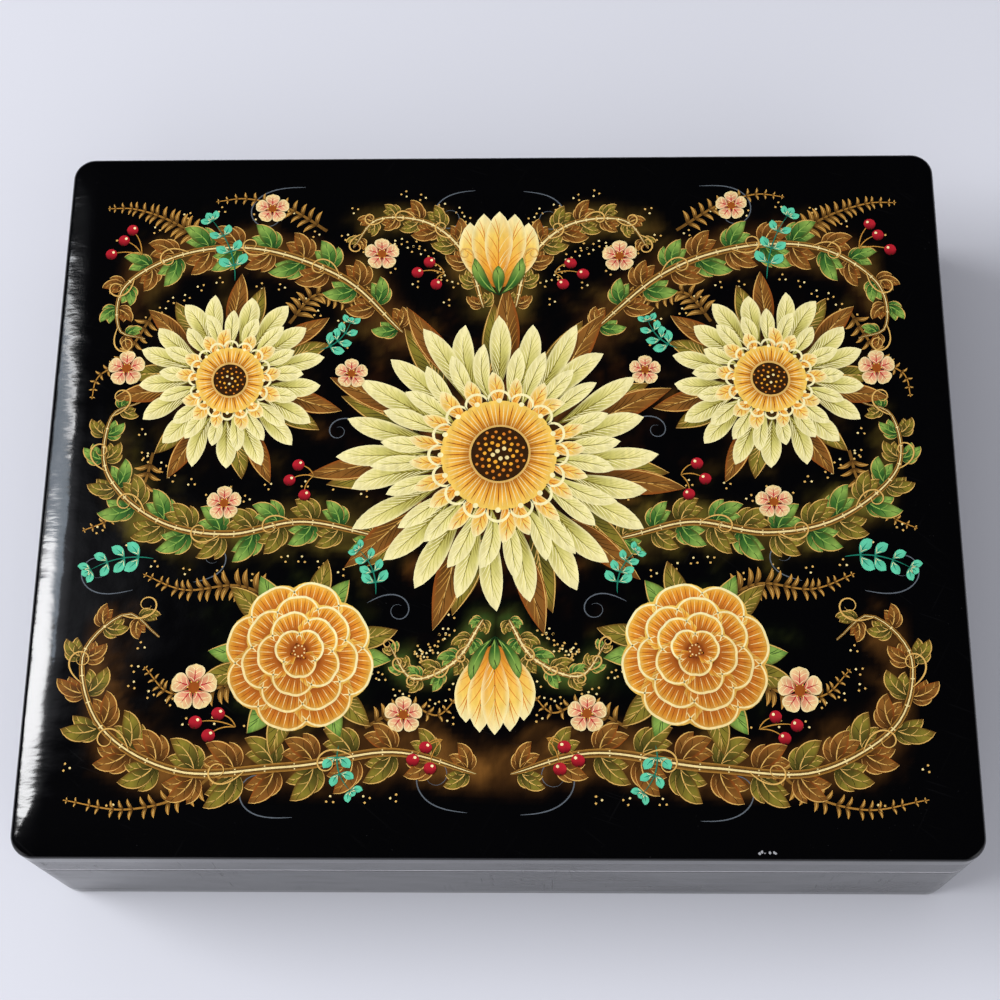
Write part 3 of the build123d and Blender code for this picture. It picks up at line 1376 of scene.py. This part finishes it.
@dataclass
class GoldenRose(Motif):
    """Rose of overlapping curled petals, deep orange in its folds and pale at its rims."""

    centre: Place
    radius: float
    turn: float = 0.0
    backing: float = 0.8
    heart: float = 0.09
    heart_rise: float = 0.06
    ring_turn: float = 0.37
    petal_spread: float = 0.66
    rings: tuple[tuple[int, float, float], ...] = (
        (8, 0.56, 1.0), (7, 0.38, 0.78), (5, 0.2, 0.56), (3, 0.06, 0.33)
    )
    run: Stops = (
        (0.0, Pigment.DARK_RED), (0.26, Pigment.RUST), (0.58, Pigment.ORANGE), (0.84, Pigment.AMBER),
        (1.0, Pigment.YELLOW),
    )

    def paint(self, layer: PaintLayer, level: float) -> None:
        """Paints the rose from its outer petals inwards."""
        heart = (self.centre[0], self.centre[1] + self.heart_rise * self.radius)
        layer.dot(self.centre, self.backing * self.radius, Pigment.RUST, level - 0.5, 25)
        for k, (count, start, end) in enumerate(self.rings):
            share = k / len(self.rings)
            centre = (self.centre[0], self.centre[1] + share * (heart[1] - self.centre[1]))
            step = level + 4 * k
            for i in range(count):
                angle = self.turn + 360 * (i + self.ring_turn * k) / count
                levels = (step + 0.5 * stagger(i, count, 3), step + 1.8)
                self.paint_fold(layer, levels, centre, (start, end), angle, self.petal_spread * 360 / count)
        layer.dot(heart, self.heart * self.radius, Pigment.RUST, level + 17, 11)
        for i in range(9):
            layer.dot(polar(heart, 0.07 * self.radius, 40 * i), 0.2, Pigment.PALE_GOLD, level + 18, 5)

    def paint_fold(
        self, layer: PaintLayer, levels: tuple[float, float], centre: Place, reach: tuple[float, float],
        angle: float, spread: float,
    ) -> None:
        """Paints one curled petal with its comb of lines and its pale rim.

        Args:
            layer: coat of paint that takes it.
            levels: how many strokes may lie below it, and below its comb.
            centre: middle of its ring.
            reach: shares of the radius at its inner and outer edge.
            angle: where it lies, in degrees.
            spread: how far it goes to both sides of that, in degrees.
        """
        steps, columns = 17, 6
        low, high = reach[0] * self.radius, reach[1] * self.radius
        sweep = np.linspace(angle + spread, angle - spread, steps)
        dip = 1 - 0.05 * np.exp(-((sweep - angle) / 7) ** 2)
        outer = low + (high - low) * swell(steps, 0.5, 0.42) * dip
        lit = 0.5 + 0.5 * math.cos(math.radians(angle - 120))
        body = mix(ramp(self.run, np.linspace(1, 0, columns)), Pigment.RUST.tint, 0.45 * (1 - lit))
        body = np.broadcast_to(body, (steps, columns, 3))
        layer.stroke(polar(centre, (low + outer) / 2, sweep), (outer - low) / 2, body, levels[0])
        rim = polar(centre, outer * 0.985, sweep)[1:-1]
        pale = mix(Pigment.PALE_GOLD.tint, Pigment.PALE_CREAM.tint, lit)
        layer.stroke(rim, 0.08 + 0.2 * swell(len(rim), 0.5, 0.5), pale, levels[1] + 1)
        for k in range(3, steps - 3):
            inner = polar(centre, low + 0.42 * (outer[k] - low), sweep[k])
            tooth = np.linspace(inner, polar(centre, outer[k] * 0.95, sweep[k]), 3)
            layer.line(tooth, 0.09, Pigment.PALE_GOLD if k % 2 else Pigment.RUST, levels[1], 0.6)


@dataclass
class ScrollLeaf(Motif):
    """Curling leaf with a fan of pointed lobes at every step on both sides of a golden rib."""

    knots: Sequence[Place]
    width: float
    lobes: int
    scheme: PetalScheme
    other: PetalScheme
    lean: float = 50.0
    seed: int = 5
    steps: int = 60
    fan: tuple[tuple[float, float], ...] = ((30.0, 0.72), (-24.0, 0.8), (0.0, 1.0))

    def paint(self, layer: PaintLayer, level: float) -> None:
        """Paints the lobes from the tip back to the root, then the rib."""
        rng = np.random.default_rng(self.seed)
        spine = flow(self.knots, self.steps)
        left = lefts(spine)
        size = self.width * (0.3 + 0.7 * np.sin(np.pi * np.linspace(0.1, 0.94, self.steps) ** 0.8))
        for i in reversed(range(self.lobes)):
            k = int(round((0.02 + 0.93 * i / (self.lobes - 1)) * (self.steps - 1)))
            for sign in (1, -1):
                scheme = self.scheme if (i + (sign > 0)) % 2 else self.other
                for order, (turn, share) in enumerate(self.fan):
                    reach = size[k] * share * (1 + rng.normal(0, 0.06))
                    lean = math.radians(self.lean + turn + rng.normal(0, 3))
                    way = sign * left[k] * math.sin(lean) + ahead(left[k]) * math.cos(lean)
                    lobe = Petal(
                        spine[k], spine[k] + reach * way, 0.2 * reach + 0.3, scheme, bend=sign * 0.13 * reach,
                        peak=0.52, fullness=0.8, hairs=3, hair_width=0.07, light=float(sign), steps=11,
                    )
                    step = level + 1.5 * (self.lobes - i) + 0.5 * order
                    lobe.paint(layer, step)
                    lobe.gild(layer, step + 0.3)
        self.paint_rib(layer, level + 1.5 * self.lobes + 2)

    def paint_rib(self, layer: PaintLayer, level: float) -> None:
        """Paints the rounded rib with its golden line and dots.

        Args:
            layer: coat of paint that takes it.
            level: how many strokes may lie below it.
        """
        spine = flow(self.knots, self.steps)
        left = lefts(spine)
        grow = swell(self.steps, 0.3, 0.8)
        rounded = np.broadcast_to(np.linspace(1, -1, 5) ** 2, (self.steps, 5))
        body = mix(Pigment.UMBER.tint, Pigment.OCHRE.tint, 0.8 * rounded)
        layer.stroke(spine, 0.2 + 0.09 * self.width * grow, body, level)
        layer.line(spine, 0.24, Pigment.PALE_GOLD, level + 0.5)
        for k in range(4, self.steps - 6, 3):
            for sign in (1, -1):
                place = spine[k] + sign * left[k] * 0.06 * self.width * grow[k]
                layer.dot(place, 0.17, Pigment.PALE_GOLD, level + 1, 5)


@dataclass
class LeafWreath(Motif):
    """Ring of pointed leaves, long and short by turns, that shows behind a blossom."""

    centre: Place
    start: float
    end: float
    count: int
    schemes: tuple[PetalScheme, ...]
    turn: float = 0.0
    half_width: float = 3.0

    def paint(self, layer: PaintLayer, level: float) -> None:
        """Paints the leaves."""
        for i in range(self.count):
            odd = i % 2
            sign = 1 if odd else -1
            angle = self.turn + 360 * i / self.count
            root = polar(self.centre, self.start, angle)
            tip = polar(self.centre, self.end * (1.0 if odd else 0.9), angle + 6 * sign)
            leaf = Petal(
                root, tip, self.half_width, self.schemes[i % len(self.schemes)], bend=0.6 * sign, peak=0.5,
                fullness=0.9, hairs=7, hair_width=0.08,
            )
            leaf.paint(layer, level + 0.5 * odd)
            leaf.gild(layer, level + 1.2)


@dataclass
class DotTrios(Motif):
    """Trios of golden dots that fill the ground between the leaves."""

    places: Sequence[Place]
    size: float = 0.9

    def paint(self, layer: PaintLayer, level: float) -> None:
        """Sets three dots round each place."""
        for i, place in enumerate(self.places):
            for k in range(3):
                spot = polar(place, self.size, 120 * k + 47 * i)
                layer.dot(spot, 0.3 * self.size, Pigment.GOLD if k else Pigment.PALE_GOLD, level, 5)


@dataclass
class FernFrond(Motif):
    """Feathery frond with drooping leaflets, dark at the stem and gilt at the tips."""

    knots: Sequence[Place]
    leaflets: int
    reach: float
    dark: Pigment = Pigment.UMBER
    bright: Pigment = Pigment.OCHRE
    steps: int = 40
    leaflet_steps: int = 7

    def tints(self, start: float, end: float, count: int) -> Tint:
        """Tints along a stroke that brightens from one share of the way to another."""
        return mix(self.dark.tint, self.bright.tint, np.linspace(start, end, count))

    def paint(self, layer: PaintLayer, level: float) -> None:
        """Paints the stem, the leaflets and their gilt ticks."""
        spine = flow(self.knots, self.steps)
        left = lefts(spine)
        taper = 0.1 + 0.3 * (1 - np.linspace(0, 1, self.steps))
        layer.stroke(spine, taper, self.tints(0.2, 1, self.steps), level)
        for i in range(self.leaflets):
            share = 0.1 + 0.88 * i / (self.leaflets - 1)
            k = int(round(share * (self.steps - 1)))
            reach = self.reach * (1 - share) ** 0.75 + 0.5
            width = (0.1 + 0.13 * reach) * swell(self.leaflet_steps, 0.45, 0.7)
            for sign in (1, -1):
                tip = spine[k] + sign * left[k] * reach + ahead(left[k]) * reach * 0.45
                leaf = bow(spine[k], tip, -sign * 0.16 * reach, self.leaflet_steps)
                layer.stroke(leaf, width, self.tints(0, 0.9, self.leaflet_steps), level + 1)
                layer.line(leaf[2:], 0.085, Pigment.GOLD, level + 2)


@dataclass
class Sprig(Motif):
    """Small sprig with pairs of plain leaves and one more at its end."""

    root: Place
    tip: Place
    leaves: int
    size: float
    scheme: PetalScheme = MINT_LEAF
    bend: float = 0.0
    steps: int = 24

    def paint(self, layer: PaintLayer, level: float) -> None:
        """Paints the stem and its leaves."""
        leaf = partial(Petal, scheme=self.scheme, hairs=1, hair_width=0.07, steps=8)
        spine = bow(self.root, self.tip, self.bend, self.steps)
        left = lefts(spine)
        layer.line(spine, 0.16, self.scheme.rib, level)
        for i in range(self.leaves):
            k = int(round((0.2 + 0.75 * i / max(self.leaves - 1, 1)) * (self.steps - 1)))
            size = self.size * (1.1 - 0.45 * i / self.leaves)
            for sign in (1, -1):
                tip = spine[k] + size * (sign * left[k] * 0.8 + ahead(left[k]) * 0.7)
                pair = leaf(spine[k], tip, 0.3 * size, bend=sign * 0.1 * size, light=float(sign))
                pair.paint(layer, level + 1)
        end = spine[-1] + (spine[-1] - spine[-4]) * 0.6 * self.size / 3
        leaf(spine[-2], end, 0.26 * self.size).paint(layer, level + 1)


@dataclass
class BerryCluster(Motif):
    """Stem of round red berries, each with a dark underside and a speck of light."""

    root: Place
    berries: Sequence[Place]
    size: float = 1.5
    run: Stops = ((0, Pigment.RED), (0.45, Pigment.RED), (1, Pigment.DARK_RED))
    specks: tuple[tuple[float, float, float, Pigment], ...] = (
        (-0.35, 0.4, 0.24, Pigment.PALE_CREAM), (0.1, -0.85, 0.14, Pigment.UMBER)
    )

    def paint(self, layer: PaintLayer, level: float) -> None:
        """Paints the stems and the berries."""
        steps, columns = 11, 5
        body = ramp(self.run, np.broadcast_to(np.linspace(0, 1, columns), (steps, columns)))
        for place in self.berries:
            layer.line(bow(self.root, place, 0.8, 10), 0.14, Pigment.OCHRE, level)
            layer.disc(place, self.size, body, level + 1, steps)
            for across, up, share, pigment in self.specks:
                spot = (place[0] + across * self.size, place[1] + up * self.size)
                layer.dot(spot, share * self.size, pigment, level + 2, 5)


@dataclass
class SmallFlower(Motif):
    """Little flower of round petals with a dotted eye."""

    centre: Place
    radius: float
    scheme: PetalScheme = PINK_PETAL
    petals: int = 5
    turn: float = 18.0

    def paint(self, layer: PaintLayer, level: float) -> None:
        """Paints the petals and the eye."""
        for i in range(self.petals):
            angle = self.turn + 360 * i / self.petals
            root, tip = (polar(self.centre, share * self.radius, angle) for share in (0.16, 1.0))
            petal = Petal(
                root, tip, 0.42 * self.radius, self.scheme, peak=0.64, fullness=0.5, hairs=3,
                hair_width=0.075, steps=10,
            )
            petal.paint(layer, level + stagger(i, self.petals, 3), level + 4)
        layer.dot(self.centre, 0.24 * self.radius, Pigment.RUST, level + 5, 9)
        for i in range(6):
            layer.dot(polar(self.centre, 0.26 * self.radius, 60 * i), 0.17, Pigment.YELLOW, level + 6, 5)


@dataclass
class Bud(Motif):
    """Half-open bud of folded petals in a green cup."""

    root: Place
    tip: Place
    half_width: float
    petals: tuple[tuple[float, float], ...] = (
        (0.95, 0.86), (-0.95, 0.86), (0.5, 0.97), (-0.5, 0.97), (0.0, 1.0)
    )
    cup: tuple[tuple[float, float], ...] = ((1.1, 0.4), (-1.1, 0.4), (0.0, 0.3))

    def paint(self, layer: PaintLayer, level: float) -> None:
        """Paints the petals from the outside in, then the cup."""
        root, tip = np.array(self.root), np.array(self.tip)
        run = tip - root
        across = np.array([-run[1], run[0]]) / np.hypot(*run)
        for k, (spread, share) in enumerate(self.petals):
            end = root + run * share + across * spread * self.half_width
            petal = Petal(
                root, end, 0.46 * self.half_width, GOLD_PETAL, bend=spread * 0.28 * self.half_width, peak=0.6,
                light=1.0 if spread >= 0 else -1.0,
            )
            petal.paint(layer, level + 2 * k)
        for k, (spread, share) in enumerate(self.cup):
            end = root + run * share + across * spread * self.half_width * 0.7
            sepal = Petal(
                root - run * 0.08, end, 0.2 * self.half_width, GREEN_LEAF,
                bend=spread * 0.15 * self.half_width, hairs=2,
            )
            sepal.paint(layer, level + 11 + 0.6 * k)


@dataclass
class PaintedDesign:
    """Flowers and scrolling leaves on the lid, mirrored about its middle."""

    finish: LacquerFinish = LacquerFinish("lid_paint", painted=True, scuffs=0.3, dust=0.2)
    extent: tuple[float, float] = (97.0, 78.0)
    wash_grid: tuple[int, int] = (141, 113)
    wash_edge: float = 6.0
    cloud_size: float = 9.0
    dots_between: tuple[float, float] = (3.0, 99.0)
    dots_below: float = 80.0
    leaves: tuple[ScrollLeaf, ...] = (
        ScrollLeaf(
            ((4, -71), (24, -66), (48, -69), (72, -70), (91, -60), (96, -43), (87, -33), (79, -39)),
            10.0, 15, BROWN_LEAF, OLIVE_LEAF,
        ),
        ScrollLeaf(
            ((28, -14), (46, -10), (64, -13), (82, -9), (95, 3), (95, 17), (88, 21)),
            9.0, 13, OLIVE_LEAF, GREEN_LEAF,
        ),
        ScrollLeaf(
            ((24, 40), (40, 55), (60, 63), (80, 62), (94, 53), (95, 41), (88, 38)),
            9.0, 13, BROWN_LEAF, GREEN_LEAF,
        ),
        ScrollLeaf(((4, 47), (8, 60), (18, 70), (31, 71), (37, 63)), 6.5, 9, OLIVE_LEAF, BROWN_LEAF),
        ScrollLeaf(((3, -34), (9, -44), (19, -48), (25, -40)), 5.0, 7, GREEN_LEAF, OLIVE_LEAF),
    )

    def build(self) -> list[bpy.types.Object]:
        """Paints every layer and lays it on the lid.

        Returns:
            One piece for each layer.
        """
        material = self.finish.material()
        pieces = []
        for name, paint in (
            ("lid_paint_ground", self.paint_ground),
            ("lid_paint_scrolls", self.paint_scrolls),
            ("lid_paint_wreaths", self.paint_wreaths),
            ("lid_paint_blossoms", self.paint_blossoms),
            ("lid_paint_sprays", self.paint_sprays),
            ("lid_paint_gilding", self.paint_gilding),
        ):
            layer = PaintLayer(name)
            for side in Side:
                layer.side = side
                paint(layer)
            piece = show(name, layer.mesh(), material)
            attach(piece, "lid")
            log.info("painted %s: %d strokes, %d faces", name, len(layer.strokes), len(piece.data.polygons))
            pieces.append(piece)
        return pieces

    def washes(self) -> list[tuple[Points, float, Pigment, Pigment]]:
        """Lists the washes behind the motifs.

        Returns:
            Lines and spots that they follow, each with its reach, its pigment and its bloom.
        """
        pigments = (
            (Pigment.BROWN, Pigment.TAN), (Pigment.OLIVE, Pigment.REED), (Pigment.BROWN, Pigment.OLIVE),
            (Pigment.OLIVE, Pigment.BROWN), (Pigment.LEAF, Pigment.OLIVE),
        )
        spots = (
            ((66, 27), 15.0, Pigment.BROWN, Pigment.OLIVE), ((46, -43), 12.0, Pigment.LEAF, Pigment.OLIVE),
            ((0, 7), 24.0, Pigment.BROWN, Pigment.RUST),
        )
        return [
            (flow(leaf.knots, 40)[:34], 0.68 * leaf.width, *pair) for leaf, pair in zip(self.leaves, pigments)
        ] + [(np.array([centre]), *rest) for centre, *rest in spots]

    def wash(self, layer: PaintLayer) -> None:
        """Lays all washes at once, blended wet in wet, so that they die away into the black.

        Args:
            layer: coat of paint that takes them.
        """
        across, along = (np.linspace(-half, half, count) for half, count in zip(self.extent, self.wash_grid))
        x, y = np.meshgrid(across, along)
        size = self.cloud_size
        cloud = np.array([
            [noise.fractal(Vector((a / size, b / size, 0)), 0.8, 2.0, 4) for a in across] for b in along
        ])
        black = np.broadcast_to(Pigment.LACQUER.tint, (*x.shape, 3))
        tints = black
        for line, reach, pigment, bloom in self.washes():
            far = np.min(np.hypot(np.abs(x)[..., None] - line[:, 0], y[..., None] - line[:, 1]), -1) / reach
            far = far * (1 - 0.35 * cloud)
            tints = mix(tints, Pigment.UMBER.tint, 0.6 * np.exp(-((1.05 * far) ** 4)))
            tints = mix(tints, pigment.tint, 0.7 * np.exp(-(far**2) * 2) * (0.7 + 0.5 * cloud).clip(0, 1))
            tints = mix(tints, bloom.tint, (0.6 * cloud).clip(0, 1) * np.exp(-(far**2) * 1.6))
        edge_x, edge_y = (
            smooth(0, self.wash_edge, half - np.abs(grid)) for half, grid in zip(self.extent, (x, y))
        )
        spine = np.stack([np.zeros(len(along)), along], -1)
        layer.stroke(spine, self.extent[0], mix(black, tints, edge_x * edge_y), Coat.WASH)

    def fillers(self, layer: PaintLayer) -> None:
        """Sets trios of golden dots beside the scrolling leaves.

        Args:
            layer: coat of paint that takes them.
        """
        rng = np.random.default_rng(12)
        near, far = self.dots_between
        for leaf in self.leaves:
            spine = flow(leaf.knots, 16)[1:14]
            left = lefts(spine)
            for sign in (1, -1):
                reach = leaf.width * rng.uniform(1.0, 1.35, len(spine))
                places = spine + sign * left * reach[:, None] + rng.normal(0, 0.6, spine.shape)
                kept = [(x, y) for x, y in places if near < abs(x) < far and abs(y) < self.dots_below]
                DotTrios(kept).paint(layer, Coat.DOTS)

    def paint_ground(self, layer: PaintLayer) -> None:
        """Paints the soft washes, the ferns and the faint scrolls behind everything else.

        Args:
            layer: coat of paint that takes them.
        """
        if layer.side is Side.RIGHT:
            self.wash(layer)
        self.fillers(layer)
        for knots, leaflets, reach in (
            (((52, -30), (62, -26), (74, -27), (84, -23)), 15, 4.6),
            (((57, -48), (68, -52), (76, -52), (82, -46)), 14, 4.2),
            (((52, 42), (46, 50), (38, 48), (33, 52)), 12, 3.8),
            (((74, 66), (84, 72), (93, 75), (100, 75)), 14, 4.0),
            (((60, -66), (70, -75), (84, -79), (98, -77)), 15, 3.8),
            (((44, 68), (54, 75), (64, 78), (72, 77)), 12, 3.4),
            (((30, -60), (20, -55), (13, -57), (8, -52)), 11, 3.2),
            (((84, 8), (86, -1), (93, -9), (99, -12)), 11, 3.4),
            (((86, 46), (93, 33), (99, 28), (100, 22)), 12, 3.2),
        ):
            FernFrond(knots, leaflets, reach).paint(layer, Coat.FERNS)
        for root, heading, length, turn in (
            ((86, -27), -12, 30, 400), ((72, -25), 168, 22, -380), ((6, -80), 4, 34, 420),
            ((46, -81), -3, 30, 380), ((6, 79), -4, 30, -420), ((50, 81), 2, 34, -400),
            ((30, -30), 150, 22, 420), ((33, 16), 20, 18, -400),
        ):
            layer.line(curl(root, heading, length, turn, 60), 0.14, Pigment.SILVER, Coat.FAINT_SCROLLS)

    def paint_scrolls(self, layer: PaintLayer) -> None:
        """Paints the scrolling leaves."""
        for leaf in self.leaves:
            leaf.paint(layer, Coat.SCROLLS)

    def paint_wreaths(self, layer: PaintLayer) -> None:
        """Paints the leaves that ring the large flowers.

        Args:
            layer: coat of paint that takes them.
        """
        wreaths = [
            LeafWreath((66, 27), 12.0, 29.0, 14, (OLIVE_LEAF, BROWN_LEAF), 10.0, 2.6),
            LeafWreath((46, -43), 9.0, 24.0, 12, (GREEN_LEAF, OLIVE_LEAF), 8.0, 2.8),
        ]
        if layer.side is Side.RIGHT:
            wreaths.append(LeafWreath((0, 7), 20.0, 46.0, 22, (OLIVE_LEAF, BROWN_LEAF), 98.0, 3.2))
        for wreath in wreaths:
            wreath.paint(layer, Coat.WREATHS)

    def paint_blossoms(self, layer: PaintLayer) -> None:
        """Paints the large blossoms, the roses and the buds.

        Args:
            layer: coat of paint that takes them.
        """
        middle: list[Motif] = [
            FeatherBlossom((0, 7), 39.0, 24), Bud((0, 52), (0, 73), 8.0), Bud((0, -40), (0, -62), 7.0)
        ]
        paired: list[Motif] = [
            FeatherBlossom((66, 27), 24.0, 17, turn=80.0, seed=8), GoldenRose((46, -43), 18.0, turn=15.0)
        ]
        for flower in middle + paired if layer.side is Side.RIGHT else paired:
            flower.paint(layer, Coat.BLOSSOMS)

    def paint_sprays(self, layer: PaintLayer) -> None:
        """Paints the small flowers, sprigs and berries.

        Args:
            layer: coat of paint that takes them.
        """
        for centre, radius in (
            ((70, -51), 5.5), ((21, -57), 4.6), ((92, 30), 4.8), ((58, 75), 4.2), ((36, 29), 4.0),
            ((30, 61), 4.4), ((66, -5), 4.4),
        ):
            SmallFlower(centre, radius).paint(layer, Coat.SPRAYS)
        for root, tip, leaves, size in (
            ((82, -19), (97, -22), 4, 4.0), ((44, 35), (37, 43), 4, 3.4), ((66, 54), (73, 72), 4, 3.8),
            ((28, -28), (33, -17), 4, 3.4), ((36, -64), (33, -75), 3, 3.4),
        ):
            Sprig(root, tip, leaves, size, bend=1.5).paint(layer, Coat.SPRAYS)
        for root, berries in (
            ((60, -60), ((66, -62), (69, -59), (64, -57))), ((44, 2), ((48, 5), (50, 1), (46, -3))),
            ((90, 62), ((95, 66), (98, 62), (93, 69))), ((12, -63), ((16, -65), (19, -68), (15, -70))),
            ((14, 56), ((18, 59), (21, 56), (16, 53))),
        ):
            BerryCluster(root, berries).paint(layer, Coat.SPRAYS)

    def paint_gilding(self, layer: PaintLayer) -> None:
        """Paints the fine golden tendrils that spring from the scrolling leaves.

        Args:
            layer: coat of paint that takes them.
        """
        for leaf in self.leaves:
            spine = flow(leaf.knots, 60)
            left = lefts(spine)
            for k, sign in ((13, 1), (24, -1), (36, 1), (45, -1), (54, 1)):
                heading = math.degrees(math.atan2(-left[k][0], left[k][1])) + 38 * sign
                tendril = curl(spine[k], heading, 1.9 * leaf.width, -440 * sign)
                layer.line(tendril, 0.19, Pigment.GOLD, Coat.GILDING)


class Outline(Enum):
    """Outlines of a flat light."""

    RECTANGLE = "RECTANGLE"
    ELLIPSE = "ELLIPSE"


@dataclass(frozen=True)
class SoftLight:
    """Flat soft light, which either shows in the polish or lights what isn't polished."""

    name: str
    centre: Direction
    size: tuple[float, float]
    power: float
    aim: Direction
    mirrored: bool = True
    outline: Outline = Outline.RECTANGLE
    lean: float = 0.0
    tint: Colour = (0.98, 0.985, 1.0)

    def hang(self) -> None:
        """Hangs the light in the studio."""
        light = bpy.data.lights.new(self.name, "AREA")
        light.shape = self.outline.value
        light.size, light.size_y = self.size
        light.energy = self.power
        light.color = self.tint
        lamp = bpy.data.objects.new(self.name, light)
        turn = Vector(self.aim).to_track_quat("-Z", "Y").to_matrix().to_4x4()
        lean = Matrix.Rotation(math.radians(self.lean), 4, "Z")
        lamp.matrix_world = Matrix.Translation(self.centre) @ turn @ lean
        lamp.visible_diffuse = not self.mirrored
        lamp.visible_glossy = self.mirrored
        bpy.context.scene.collection.objects.link(lamp)


@dataclass(frozen=True)
class SkyGlow:
    """Soft patch of light in the surround, which shows in the polish."""

    way: Direction
    spread: Direction
    tint: Colour

    def over(self, bench: NodeBench, way: Socket, surround: Socket) -> Socket:
        """Lays the patch over the surround.

        Args:
            bench: the surround's nodes.
            way: direction that is looked in.
            surround: colour of the surround without the patch.

        Returns:
            Its colour with the patch.
        """
        spread = np.array(self.spread)
        away = bench.vector("MULTIPLY_ADD", way, tuple(1 / spread), tuple(-np.array(self.way) / spread))
        outside = bench.step(bench.measure("LENGTH", away), 0.0, 1.0)
        return bench.blend(outside, np.array(self.tint), surround)


@dataclass
class Studio:
    """Pale floor, a window on the left, a soft surround and the camera."""

    floor_half: float = 12.0
    floor_clear: float = 0.5
    floor_gone: float = 1.4
    floor_tint: Colour = (0.70, 0.71, 0.77)
    floor_roughness: float = 0.85
    floor_gloss: float = 0.2
    lights: tuple[SoftLight, ...] = (
        SoftLight(
            "window", (-0.70, 0.265, 1.09), (0.25, 0.52), 7.2, (1, 0, 0), outline=Outline.ELLIPSE, lean=24.0
        ),
        SoftLight("sky_pane", (-0.70, 0.475, 1.20), (0.20, 0.66), 1.8, (1, 0, 0), tint=(0.72, 0.85, 1.0)),
        SoftLight("window_reveal", (-0.70, 0.595, 1.2), (0.045, 0.64), 1.8, (1, 0, 0), lean=8.0),
        SoftLight("soft_key", (-1.5, 0.04, 1.42), (1.3, 1.3), 40.0, (1.5, -0.04, -1.42), mirrored=False),
        SoftLight("front_fill", (0.25, -1.0, 1.0), (1.6, 1.2), 6.0, (-0.25, 1.0, -1.0), mirrored=False),
    )
    glows: tuple[SkyGlow, ...] = (
        SkyGlow((-0.45, 0.30, 0.84), (0.28, 0.14, 9.0), (1.2, 1.22, 1.32)),
        SkyGlow((-0.76, -0.58, 0.3), (0.46, 0.6, 0.6), (1.3, 1.3, 1.36)),
        SkyGlow((0.76, -0.58, 0.3), (0.46, 0.6, 0.6), (1.3, 1.3, 1.36)),
    )
    zenith: Colour = (0.008, 0.008, 0.01)
    zenith_from: float = 0.35
    horizon: Colour = (0.62, 0.63, 0.68)
    mirrored_horizon: Colour = (0.3, 0.3, 0.33)
    ambient: Colour = (0.34, 0.34, 0.36)
    eye: Direction = (0.0129, -0.1629, 0.4770)
    lens: float = 68.61
    sensor: float = 36.0
    nearest: float = 0.01
    look_down: float = 69.585
    yaw: float = 4.455
    roll: float = -4.28

    def build(self) -> None:
        """Sets up everything round the box."""
        self.lay_floor()
        for light in self.lights:
            light.hang()
        self.fill_surround()
        self.place_camera()

    def lay_floor(self) -> None:
        """Lays the floor under the box, which fades into the backdrop far away."""
        half = self.floor_half
        mesh = bpy.data.meshes.new("studio_floor")
        corners = [(-half, -half, 0), (half, -half, 0), (half, half, 0), (-half, half, 0)]
        mesh.from_pydata(corners, [], [(0, 1, 2, 3)])
        material, bench = new_material("pale_floor")
        tint = np.array(self.floor_tint)
        shader = bench.add("BsdfPrincipled", None, Base_Color=tint, Roughness=self.floor_roughness)
        shader.inputs["Specular IOR Level"].default_value = self.floor_gloss
        backdrop = bench.add("Emission", None, Color=np.array(self.horizon))
        far = bench.step(bench.measure("LENGTH", bench.place()), self.floor_clear, self.floor_gone)
        seen = bench.product(far, bench.add("LightPath").outputs["Is Camera Ray"])
        fading = bench.add("MixShader")
        for socket, value in zip(fading.inputs, (seen, shader.outputs[0], backdrop.outputs[0])):
            bench.feed(socket, value)
        bench.add("OutputMaterial", None, Surface=fading.outputs[0])
        show("studio_floor", mesh, material)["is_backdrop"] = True

    def fill_surround(self) -> None:
        """Fills the surround: even for soft light, and dark overhead and pale low down in the polish."""
        world = bpy.data.worlds.new("studio_surround")
        world.use_nodes = True
        bench = NodeBench(world.node_tree)
        way = bench.add("TexCoord").outputs["Generated"]
        up = bench.step(bench.axis("Z", way), 0.0, self.zenith_from)
        mirrored = bench.blend(up, np.array(self.mirrored_horizon), np.array(self.zenith))
        for glow in self.glows:
            mirrored = glow.over(bench, way, mirrored)
        ray = bench.add("LightPath").outputs
        colour = bench.blend(ray["Is Glossy Ray"], np.array(self.ambient), mirrored)
        colour = bench.blend(ray["Is Camera Ray"], colour, np.array(self.horizon))
        shader = bench.add("Background", None, Color=colour)
        bench.add("OutputWorld", None, Surface=shader.outputs[0])
        bpy.context.scene.world = world

    def place_camera(self) -> None:
        """Places the camera above the front of the box."""
        camera = bpy.data.cameras.new("camera")
        camera.lens = self.lens
        camera.sensor_fit = "HORIZONTAL"
        camera.sensor_width = self.sensor
        camera.clip_start = self.nearest
        eye = bpy.data.objects.new("camera", camera)
        turn = Matrix.Rotation(math.radians(self.yaw), 4, "Z")
        tilt = Matrix.Rotation(math.radians(90 - self.look_down), 4, "X")
        lean = Matrix.Rotation(math.radians(self.roll), 4, "Z")
        eye.matrix_world = Matrix.Translation(self.eye) @ turn @ tilt @ lean
        bpy.context.scene.collection.objects.link(eye)
        bpy.context.scene.camera = eye
        bpy.context.scene.view_settings.view_transform = "Standard"


def write_sizes() -> None:
    """Sets the CAD model's box and the visual model's box, in metres, side by side; nothing keeps them."""
    boxes = {"cad": cad_box, "visual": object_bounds()}
    {name: [list(corner) for corner in box] for name, box in boxes.items()}


def main() -> None:
    """Builds the box's looks and the studio round it."""
    logging.basicConfig(level=logging.INFO, format="%(name)s: %(message)s")
    Studio().build()
    BoxShell().dress()
    BrassHinges().dress()
    lid = LidShell().build()
    log.info("built %s", lid.name)
    PaintedDesign().build()
    write_sizes()


if __name__ == "__main__":
    main()
